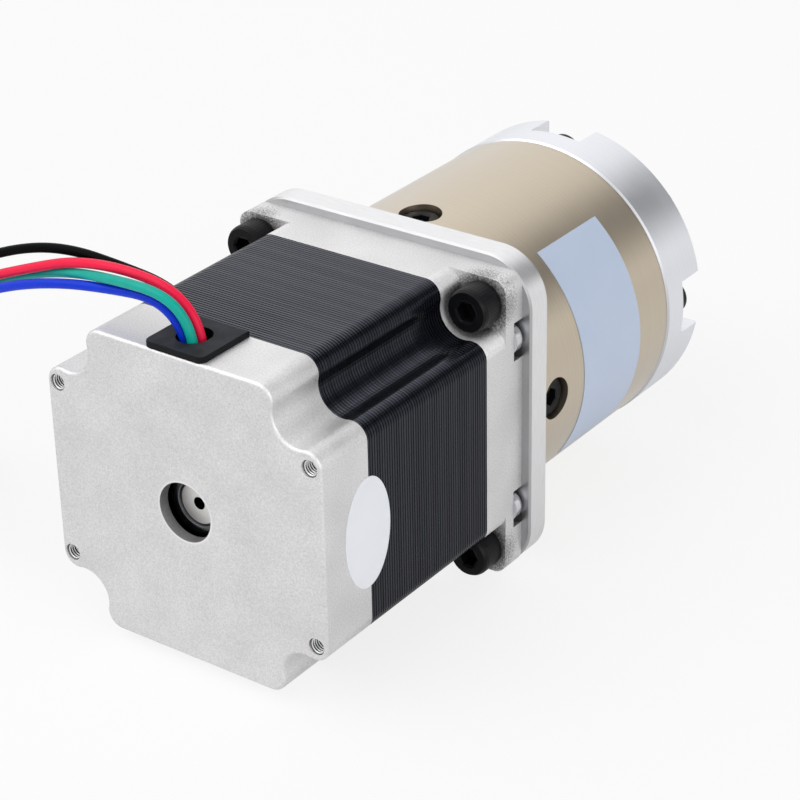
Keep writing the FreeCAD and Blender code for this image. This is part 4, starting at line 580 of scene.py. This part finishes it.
# Lacquer: near black and glossy, with a glint that changes from sheet to sheet and painted shade on the
# sides.
lacquer, tree = new_material("black_lacquered_laminations")
place = add_node(tree, "ShaderNodeTexCoord")
split = add_node(tree, "ShaderNodeSeparateXYZ", links={"Vector": (place, "Object")})
count = add_node(tree, "ShaderNodeMath",
                 {"operation": "MULTIPLY_ADD", 1: 1 / (sheet_pitch * MM),
                  2: -(core_rear + rear_face) / sheet_pitch},
                 {0: (split, "Y")})
along = add_node(tree, "ShaderNodeMath", {"operation": "FRACT"}, {0: (count, 0)})
edge = add_node(tree, "ShaderNodeMapRange",
                {"From Min": 1 - groove_share, "From Max": 1 - groove_share * 0.7,
                 "To Min": 1.0, "To Max": 0.3},
                {"Value": (along, 0)})
count = add_node(tree, "ShaderNodeMath", {"operation": "FLOOR"}, {0: (count, 0)})
each = add_node(tree, "ShaderNodeTexWhiteNoise", {"noise_dimensions": "1D"}, {"W": (count, 0)})
glint = add_node(tree, "ShaderNodeMapRange", {"To Min": 0.58, "To Max": 0.9}, {"Value": (each, "Value")})
# Painted shade: the glint is cut down on faces that point to the sides.
facing = add_node(tree, "ShaderNodeVectorMath", {"operation": "ABSOLUTE"}, {0: (place, "Normal")})
facing = add_node(tree, "ShaderNodeSeparateXYZ", links={"Vector": (facing, 0)})
side_painted_shade = add_node(tree, "ShaderNodeMapRange",
                   {"From Min": 0.6, "From Max": 0.95, "To Min": 1.0, "To Max": 0.45},
                   {"Value": (facing, "X")})
for part in (edge, side_painted_shade):
    glint = add_node(tree, "ShaderNodeMath", {"operation": "MULTIPLY"}, {0: (glint, 0), 1: (part, 0)})
strips = add_node(tree, "ShaderNodeMapping", {"Scale": (0.12, 1.0, 0.12)}, {"Vector": (place, "Object")})
drawn = add_node(tree, "ShaderNodeTexNoise", {"Scale": 1 / (0.5 * MM), "Detail": 3.0},
                 {"Vector": (strips, "Vector")})
cloud = add_node(tree, "ShaderNodeTexNoise", {"Scale": 1 / (9.0 * MM)}, {"Vector": (place, "Object")})
tone = add_node(tree, "ShaderNodeMix", {"data_type": "RGBA", 6: linear("#030304"), 7: linear("#0A0B0F")},
                {0: (drawn, "Fac")})
gloss = add_node(tree, "ShaderNodeMapRange", {"To Min": 0.18, "To Max": 0.26}, {"Value": (cloud, "Fac")})
uneven = add_node(tree, "ShaderNodeBump", {"Strength": 0.12, "Distance": 0.05 * MM},
                  {"Height": (drawn, "Fac")})
skin = add_node(tree, "ShaderNodeBsdfPrincipled", {"IOR": 1.5, "Specular Tint": linear("#D8E1FF")},
                {"Base Color": (tone, 2), "Roughness": (gloss, 0), "Specular IOR Level": (glint, 0),
                 "Normal": (uneven, 0)})
add_node(tree, "ShaderNodeOutputMaterial", links={"Surface": (skin, 0)})

# The section of the CAD core at its middle is brought to the rear, where its outer loop is told apart.
weld_gap = 0.001 * MM
core_middle = in_frame((0, core_rear + core_length / 2, 0))
core = bmesh.new()
core.from_mesh(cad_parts["stator_stack"].data)
bmesh.ops.remove_doubles(core, verts=core.verts, dist=weld_gap)
bmesh.ops.bisect_plane(core, geom=core.verts[:] + core.edges[:] + core.faces[:], dist=weld_gap / 10,
                       plane_co=core_middle, plane_no=(0, 1, 0), clear_inner=True, clear_outer=True)
bmesh.ops.translate(core, verts=core.verts, vec=(0, -core_length / 2 * MM, 0))
outer = {max(core.verts, key=lambda vert: vert.co.x)}
reached = list(outer)
while reached:
    vert = reached.pop()
    for edge in vert.link_edges:
        other = edge.other_vert(vert)
        if other not in outer:
            outer.add(other)
            reached.append(other)
outer_edges = [edge for edge in core.edges if edge.verts[0] in outer]
inner_edges = [edge for edge in core.edges if edge.verts[0] not in outer]

# The inside runs straight through. Outside, one sheet and its groove are drawn and repeated.
grown = bmesh.ops.extrude_edge_only(core, edges=inner_edges)["geom"]
bmesh.ops.translate(core, verts=only(BMVert, grown), vec=(0, core_length * MM, 0))
narrow = 1 - groove_depth / core_half_width
ring = outer_edges
one_sheet = list(outer) + outer_edges
for advance, width in ((1 - groove_share, 1.0), (groove_share * 0.3, narrow), (groove_share * 0.4, 1.0),
                       (groove_share * 0.3, 1 / narrow)):
    grown = bmesh.ops.extrude_edge_only(core, edges=ring)["geom"]
    one_sheet += grown
    ring = only(BMEdge, grown)
    bmesh.ops.translate(core, verts=only(BMVert, grown), vec=(0, sheet_pitch * advance * MM, 0))
    bmesh.ops.scale(core, verts=only(BMVert, grown), vec=(width, 1, width))
one_sheet += [face for edge in only(BMEdge, one_sheet) for face in edge.link_faces]
bmesh.ops.spin(core, geom=list(dict.fromkeys(one_sheet)), cent=(0, 0, 0), axis=(0, 1, 0),
               dvec=(0, sheet_pitch * MM, 0), angle=0, steps=sheet_count - 1, use_duplicate=True)
bmesh.ops.remove_doubles(core, verts=core.verts, dist=weld_gap)
open_edges = [edge for edge in core.edges if edge.is_boundary]
rear_edges = [edge for edge in open_edges if edge.verts[0].co.y < core_middle.y]
front_edges = [edge for edge in open_edges if edge.verts[0].co.y > core_middle.y]
for end in (rear_edges, front_edges):
    bmesh.ops.triangle_fill(core, edges=end, use_beauty=True)
finished("laminated_stator_core", core, lacquer, "lamination", "stator_stack")


# Windings and insulators
# Enamelled copper coils round the eight poles, kept off the core by two moulded nylon end plates.
# They are closed inside the motor. The nylon is a warm, cloudy white, softly dull.
white_nylon, tree = new_material("moulded_white_nylon")
place = add_node(tree, "ShaderNodeTexCoord")
cloud = add_node(tree, "ShaderNodeTexNoise", {"Scale": 1 / (3.0 * MM)}, {"Vector": (place, "Object")})
tone = add_node(tree, "ShaderNodeMix", {"data_type": "RGBA", 6: linear("#E6E3DA"), 7: linear("#D5D1C5")},
                {0: (cloud, "Fac")})
skin = add_node(tree, "ShaderNodeBsdfPrincipled", {"Roughness": 0.5, "IOR": 1.53}, {"Base Color": (tone, 2)})
add_node(tree, "ShaderNodeOutputMaterial", links={"Surface": (skin, 0)})
dress(white_nylon, "rear_insulator", "front_insulator")

# Enamelled wire: warm copper in dark and bright bands, drawn coarser than the real turns.
magnet_wire, tree = new_material("enamelled_copper_wire")
place = add_node(tree, "ShaderNodeTexCoord")
turns = add_node(tree, "ShaderNodeTexWave",
                 {"bands_direction": "DIAGONAL", "Scale": 1 / (4.0 * MM), "Distortion": 0.4},
                 {"Vector": (place, "Object")})
tone = add_node(tree, "ShaderNodeMix", {"data_type": "RGBA", 6: linear("#6E2F14"), 7: linear("#C8763F")},
                {0: (turns, "Fac")})
wound = add_node(tree, "ShaderNodeBump", {"Strength": 0.6, "Distance": 0.25 * MM},
                 {"Height": (turns, "Fac")})
skin = add_node(tree, "ShaderNodeBsdfPrincipled", {"Metallic": 1.0, "Roughness": 0.3},
                {"Base Color": (tone, 2), "Normal": (wound, 0)})
add_node(tree, "ShaderNodeOutputMaterial", links={"Surface": (skin, 0)})
dress(magnet_wire, "phase_windings")


# Rotor
# A ground steel shaft carries two toothed stacks of steel sheets with a ring magnet between them.
# Only the shaft's pale, turned end with its centre hole shows, in the window of the rear cap.
def turned_metal(name, pale, dark, mark_mm, rough, depth_mm, coat=0.0, hole_mm=0.0, painted_rear_shade=0.0):
    """Metal turned in a lathe: fine rings about the output axis, on its sides and on its faces.

    The CAD cylinders have flat facets, so the radius is rounded to steps that keep each ring whole.
    The centre hole is dark, and a share of grey may be painted as shade on what faces the rear.
    """
    ring_step = 0.25 * MM
    facet_gap = 0.12 * MM
    material, tree = new_material(name)
    place = add_node(tree, "ShaderNodeTexCoord")
    split = add_node(tree, "ShaderNodeSeparateXYZ", links={"Vector": (place, "Object")})
    across = add_node(tree, "ShaderNodeCombineXYZ", links={"X": (split, "X"), "Y": (split, "Z")})
    radius = add_node(tree, "ShaderNodeVectorMath", {"operation": "LENGTH"}, {0: (across, 0)})
    radius = add_node(tree, "ShaderNodeMath", {"operation": "ADD", 1: facet_gap}, {0: (radius, "Value")})
    radius = add_node(tree, "ShaderNodeMath", {"operation": "SNAP", 1: ring_step}, {0: (radius, 0)})
    rings = add_node(tree, "ShaderNodeCombineXYZ", links={"X": (radius, 0), "Y": (split, "Y")})
    marks = add_node(tree, "ShaderNodeTexNoise", {"Scale": 1 / (mark_mm * MM), "Detail": 3.0},
                     {"Vector": (rings, 0)})
    cloud = add_node(tree, "ShaderNodeTexNoise", {"Scale": 1 / (8.0 * MM)}, {"Vector": (place, "Object")})
    tone = add_node(tree, "ShaderNodeMix", {"data_type": "RGBA", 6: linear(dark), 7: linear(pale)},
                    {0: (marks, "Fac")})
    # Within hole_mm of the axis the colour is near black, for the centre hole.
    centre_hole_dark = add_node(tree, "ShaderNodeMath", {"operation": "LESS_THAN", 1: hole_mm * MM}, {0: (radius, 0)})
    tone = add_node(tree, "ShaderNodeMix", {"data_type": "RGBA", 7: linear("#1A1918")},
                    {0: (centre_hole_dark, 0), 6: (tone, 2)})
    # Painted shade: a share of grey on faces that point to the rear.
    facing = add_node(tree, "ShaderNodeSeparateXYZ", links={"Vector": (place, "Normal")})
    rear_shade_mask = add_node(tree, "ShaderNodeMapRange",
                        {"From Min": -0.3, "From Max": -0.7, "To Max": painted_rear_shade},
                        {"Value": (facing, "Y")})
    tone = add_node(tree, "ShaderNodeMix", {"data_type": "RGBA", 7: linear("#77787B")},
                    {0: (rear_shade_mask, 0), 6: (tone, 2)})
    patch = add_node(tree, "ShaderNodeMapRange", {"To Min": rough - 0.05, "To Max": rough + 0.05},
                     {"Value": (cloud, "Fac")})
    cut = add_node(tree, "ShaderNodeBump", {"Strength": 0.3, "Distance": depth_mm * MM},
                   {"Height": (marks, "Fac")})
    metal = add_node(tree, "ShaderNodeBsdfPrincipled",
                     {"Metallic": 1.0, "Coat Weight": coat, "Coat Roughness": rough},
                     {"Base Color": (tone, 2), "Roughness": (patch, 0), "Normal": (cut, 0)})
    add_node(tree, "ShaderNodeOutputMaterial", links={"Surface": (metal, 0)})
    return material


# Ground steel is pale and even, the shaft's end paler still. Sheets and magnet are greyer and duller.
ground_steel = turned_metal("ground_steel", "#DAD8D5", "#B9B7B4", mark_mm=0.25, rough=0.34, depth_mm=0.02)
shaft_steel = turned_metal("ground_shaft_steel", "#ECEAE7", "#CFCDCA", mark_mm=0.25, rough=0.34,
                           depth_mm=0.02, hole_mm=1.05)
sheet_steel = turned_metal("stacked_sheet_steel", "#9A9B9F", "#6F7075", mark_mm=0.5, rough=0.42,
                           depth_mm=0.05)
magnet_alloy = turned_metal("ground_magnet_alloy", "#6A6A6E", "#4C4C50", mark_mm=0.4, rough=0.5,
                            depth_mm=0.03)
dress(ground_steel, "thrust_washer", "first_planet_pins", "second_planet_pins")
dress(shaft_steel, "motor_shaft")
dress(sheet_steel, "rotor_stack_rear", "rotor_stack_front")
dress(magnet_alloy, "rotor_magnet")


# Bearings
# Deep groove ball bearings with riveted cages, two for the rotor and two for the output shaft.
# Their polished steel is coloured dark as painted shade, with clear reflections.
# A thin wave washer of duller, rolled spring steel behind the rear one takes up its play.
# Painted shade: the bearing steel is coloured dark grey for the cavity it sits in.
bearing_steel = turned_metal("polished_bearing_steel", "#7C7D81", "#626368", mark_mm=0.3, rough=0.21,
                             depth_mm=0.01)
spring_steel = turned_metal("rolled_spring_steel", "#8E8E92", "#6C6C70", mark_mm=0.35, rough=0.36,
                            depth_mm=0.02)
for bearing in ("rear_bearing", "front_bearing", "output_bearing_rear", "output_bearing_front"):
    dress(bearing_steel, *[f"{bearing}_{piece}" for piece in ("outer_ring", "inner_ring", "balls", "cage")])
dress(spring_steel, "wave_washer")
ease_edges(0.12, "rear_bearing_inner_ring", "motor_shaft")


# Front end cap and its screws
# The same die casting as the rear cap, with a square flange and the pilot that centres the gearbox.
# Four long screws hold the caps and the core together; their heads sit in notches of the flange.
# They are zinc plated, bright and cool with clear reflections.
dress(cast_aluminium, "front_end_cap")
ease_edges(0.25, "front_end_cap")
zinc = turned_metal("bright_zinc_plate", "#E4E5E8", "#C2C4C8", mark_mm=0.3, rough=0.21, depth_mm=0.02)
dress(zinc, "through_screws")


# Flange bolts
# Four alloy steel socket screws with knurled heads, black from the oxide bath and oiled.
# They stand in the corners of the motor's outline and hold its flange to the adapter plate.
def socket_screws(stands, head_radius, head_height, shank_radius, shank_length):
    """Socket screws with knurled heads, each stood in place by a matrix; its head points along local z."""
    ridges = 40
    ridge_height = 0.02
    tip_chamfer = 0.3
    key = head_radius * 0.5

    def knurled(angle):
        return head_radius - (ridge_height if round(angle * ridges / math.pi) % 2 else 0)

    def hexagon(angle):
        return key * math.cos(math.pi / 6) / math.cos(angle % (math.pi / 3) - math.pi / 6)

    def grow(edges, height, radius):
        grown = bmesh.ops.extrude_edge_only(shape, edges=edges)["geom"]
        for vert in only(BMVert, grown):
            angle = math.atan2(vert.co.y, vert.co.x)
            vert.co = (radius(angle) * math.cos(angle), radius(angle) * math.sin(angle), height)
            made.append(vert)
        return only(BMEdge, grown)

    # Both ends by the height of each section and its radius round the axis, from the seat outwards.
    head = [
        (head_height * 0.06, knurled),
        (head_height * 0.8, knurled),
        (head_height * 0.84, lambda angle: head_radius * 0.985),
        (head_height * 0.9, lambda angle: head_radius * 0.975),
        (head_height, lambda angle: head_radius * 0.9),
        (head_height, lambda angle: key * 1.16),
        (head_height * 0.96, hexagon),
        (head_height * 0.5, hexagon),
    ]
    shank = [
        (0.0, lambda angle: shank_radius),
        (tip_chamfer - shank_length, lambda angle: shank_radius),
        (-shank_length, lambda angle: shank_radius - tip_chamfer),
    ]
    shape = bmesh.new()
    for stand in stands:
        made = bmesh.ops.create_circle(shape, cap_ends=False, segments=2 * ridges,
                                       radius=head_radius * 0.97)["verts"]
        seat = edges_at(made)
        for sections in (head, shank):
            ring = seat
            for height, radius in sections:
                ring = grow(ring, height, radius)
            bmesh.ops.contextual_create(shape, geom=ring)
        bmesh.ops.transform(shape, verts=made, matrix=stand @ Matrix.Scale(MM, 4))
    return shape


# Black oxide: near black steel with a thin film of oil, glossier where it has run.
black_oxide, tree = new_material("oiled_black_oxide_steel")
place = add_node(tree, "ShaderNodeTexCoord")
smear = add_node(tree, "ShaderNodeTexNoise", {"Scale": 1 / (1.5 * MM)}, {"Vector": (place, "Object")})
grain = add_node(tree, "ShaderNodeTexNoise", {"Scale": 1 / (0.18 * MM), "Detail": 3.0},
                 {"Vector": (place, "Object")})
tone = add_node(tree, "ShaderNodeMix", {"data_type": "RGBA", 6: linear("#08090A"), 7: linear("#141518")},
                {0: (smear, "Fac")})
oil_film_and_bolt_ring = add_node(tree, "ShaderNodeMapRange", {"To Min": 0.3, "To Max": 0.48}, {"Value": (smear, "Fac")})
etched = add_node(tree, "ShaderNodeBump", {"Strength": 0.2, "Distance": 0.03 * MM},
                  {"Height": (grain, "Fac")})
skin = add_node(tree, "ShaderNodeBsdfPrincipled", {"IOR": 1.5, "Specular IOR Level": 0.14},
                {"Base Color": (tone, 2), "Roughness": (oil_film_and_bolt_ring, 0), "Normal": (etched, 0)})
add_node(tree, "ShaderNodeOutputMaterial", links={"Surface": (skin, 0)})

bolt_stands = [Matrix.Translation(in_frame((x * bolt_place, flange_rear, z * bolt_place)))
               @ Matrix.Rotation(math.radians(90), 4, "X") for x, z in corners]
bolts = socket_screws(bolt_stands, head_radius=3.9, head_height=5.0, shank_radius=2.5, shank_length=9.6)
finished("knurled_flange_bolts", bolts, black_oxide, "black_screw", "flange_bolts")


# Adapter plate
# A square plate milled from aluminium between motor and gearbox; its spigot reaches into the housing.
# It has fine strokes round its sides and a satin sheen, with a bright broken edge and painted shade on its
# rear face.
milled_aluminium, tree = new_material("satin_milled_aluminium")
place = add_node(tree, "ShaderNodeTexCoord")
strokes = add_node(tree, "ShaderNodeMapping", {"Scale": (0.1, 1.0, 0.1)}, {"Vector": (place, "Object")})
lines = add_node(tree, "ShaderNodeTexNoise", {"Scale": 1 / (0.3 * MM), "Detail": 3.0},
                 {"Vector": (strokes, "Vector")})
cloud = add_node(tree, "ShaderNodeTexNoise", {"Scale": 1 / (6.0 * MM)}, {"Vector": (place, "Object")})
tone = add_node(tree, "ShaderNodeMix", {"data_type": "RGBA", 6: linear("#DADADC"), 7: linear("#F0F0F1")},
                {0: (lines, "Fac")})
# Painted shade: faces that point to the rear are darkened.
facing = add_node(tree, "ShaderNodeSeparateXYZ", links={"Vector": (place, "Normal")})
rear_shade_mask = add_node(tree, "ShaderNodeMapRange", {"From Min": -0.3, "From Max": -0.75, "To Max": 0.75},
                    {"Value": (facing, "Y")})
tone = add_node(tree, "ShaderNodeMix", {"data_type": "RGBA", 7: linear("#8E8E90")},
                {0: (rear_shade_mask, 0), 6: (tone, 2)})
satin = add_node(tree, "ShaderNodeMapRange",
                 {"From Min": 0.3, "From Max": 0.7, "To Min": 0.3, "To Max": 0.4}, {"Value": (cloud, "Fac")})
brushed = add_node(tree, "ShaderNodeBump", {"Strength": 0.2, "Distance": 0.02 * MM},
                   {"Height": (lines, "Fac")})
metal = add_node(tree, "ShaderNodeBsdfPrincipled", {"Metallic": 1.0},
                 {"Base Color": (tone, 2), "Roughness": (satin, 0), "Normal": (brushed, 0)})
add_node(tree, "ShaderNodeOutputMaterial", links={"Surface": (metal, 0)})
dress(milled_aluminium, "adapter_plate")


# Ring gear housing
# A steel cylinder with the ring gear's teeth inside, on the adapter plate's spigot.
# It is turned and plated to a warm, pale champagne under a clear gloss, with faint rings from the lathe.
# Four black socket screws, sunk in round holes, hold it.
champagne = turned_metal("champagne_plated_steel", "#CBBEA9", "#BAAC96", mark_mm=0.5, rough=0.34,
                         depth_mm=0.015, coat=1.0)
dress(champagne, "ring_gear_housing")
housing_rear = 61.2
radial_place = housing_rear + 5.3
radial_seat = 25.0
quarter_turns = [Matrix.Rotation(math.radians(90 * quarter), 4, "Y") for quarter in range(4)]
radial_stands = [Matrix.Translation(in_frame((0, radial_place, 0))) @ turn
                 @ Matrix.Translation((0, 0, radial_seat * MM)) for turn in quarter_turns]
radial_screws = socket_screws(radial_stands, head_radius=3.5, head_height=2.4, shank_radius=2.0,
                              shank_length=8.0)
finished("sunk_housing_screws", radial_screws, black_oxide, "black_screw", "housing_screws")


# Gear train
# Hardened steel spur gears in two planetary stages, with the discs that carry their pins.
# All of it runs in grease inside the housing, so the steel is mid grey with a soft sheen.
gear_steel = turned_metal("hardened_gear_steel", "#8D8E92", "#696A6F", mark_mm=0.35, rough=0.34,
                          depth_mm=0.03)
dress(gear_steel, "sun_pinion", "first_carrier", "second_sun_gear")
for stage in ("first", "second"):
    dress(gear_steel, *[f"{stage}_planet_{k}" for k in (1, 2, 3)])


# Output shaft
# A ground steel shaft in one piece with the second carrier, with a keyway in its side.
# It is blackened to a dark grey that still shows the rings of grinding.
# A circlip holds its bearings and a rubber seal closes the front.
dark_steel = turned_metal("blackened_ground_steel", "#3C3D40", "#28292B", mark_mm=0.3, rough=0.34,
                          depth_mm=0.015)
dress(dark_steel, "output_shaft")
dress(black_oxide, "shaft_circlip")
dress(rubber, "shaft_seal")


# Front flange of the gearbox
# Turned aluminium with a pilot and four tapped holes, and four notches for the black screws that hold it.
# Its rim is bright from the lathe, and what faces the rear has a little painted shade.
bright_aluminium = turned_metal("fine_turned_aluminium", "#F0F1F5", "#E0E2E8", mark_mm=0.4, rough=0.34,
                                depth_mm=0.015, painted_rear_shade=0.35)
dress(bright_aluminium, "front_flange")
mount_circle = 22.5
mount_place = mount_circle * math.sqrt(0.5)
cut_threads("mounting_hole_threads", "tapped_turned_aluminium", "flange_aluminium", x=mount_place,
            z=mount_place, root=2.12, crest=1.78, start=109.3, pitch=0.8, turns=8)
notch_floor = -6.4
notch_place = 24.0
flange_stands = [Matrix.Translation((0, notch_floor * MM, 0)) @ turn
                 @ Matrix.Translation((notch_place * MM, 0, 0))
                 @ Matrix.Rotation(math.radians(-90), 4, "X") for turn in quarter_turns]
flange_screws = socket_screws(flange_stands, head_radius=3.5, head_height=4.0, shank_radius=2.0,
                              shank_length=14.0)
finished("notch_flange_screws", flange_screws, black_oxide, "black_screw", "front_flange_screws")


# Labels
# A bare paper strip glued round the housing and a bare oval sticker on the motor's side.
# Both are of coated paper, the strip pale blue and the sticker white.
def label_paper(name, pale, dark):
    """Coated paper: clouds of two close tones, a faintly felted skin and a soft sheen."""
    material, tree = new_material(name)
    place = add_node(tree, "ShaderNodeTexCoord")
    fibres = add_node(tree, "ShaderNodeTexNoise", {"Scale": 1 / (0.5 * MM), "Detail": 4.0},
                      {"Vector": (place, "Object")})
    cloud = add_node(tree, "ShaderNodeTexNoise", {"Scale": 1 / (10.0 * MM)}, {"Vector": (place, "Object")})
    tone = add_node(tree, "ShaderNodeMix", {"data_type": "RGBA", 6: linear(dark), 7: linear(pale)},
                    {0: (cloud, "Fac")})
    sheen = add_node(tree, "ShaderNodeMapRange", {"To Min": 0.3, "To Max": 0.42}, {"Value": (fibres, "Fac")})
    felted = add_node(tree, "ShaderNodeBump", {"Strength": 0.1, "Distance": 0.02 * MM},
                      {"Height": (fibres, "Fac")})
    skin = add_node(tree, "ShaderNodeBsdfPrincipled", {"IOR": 1.5, "Specular IOR Level": 0.3},
                    {"Base Color": (tone, 2), "Roughness": (sheen, 0), "Normal": (felted, 0)})
    add_node(tree, "ShaderNodeOutputMaterial", links={"Surface": (skin, 0)})
    return material


dress(label_paper("pale_blue_label_paper", "#CAD6EA", "#BFCDE5"), "rating_label")
dress(label_paper("white_label_paper", "#F6F8FC", "#ECEFF6"), "oval_label")
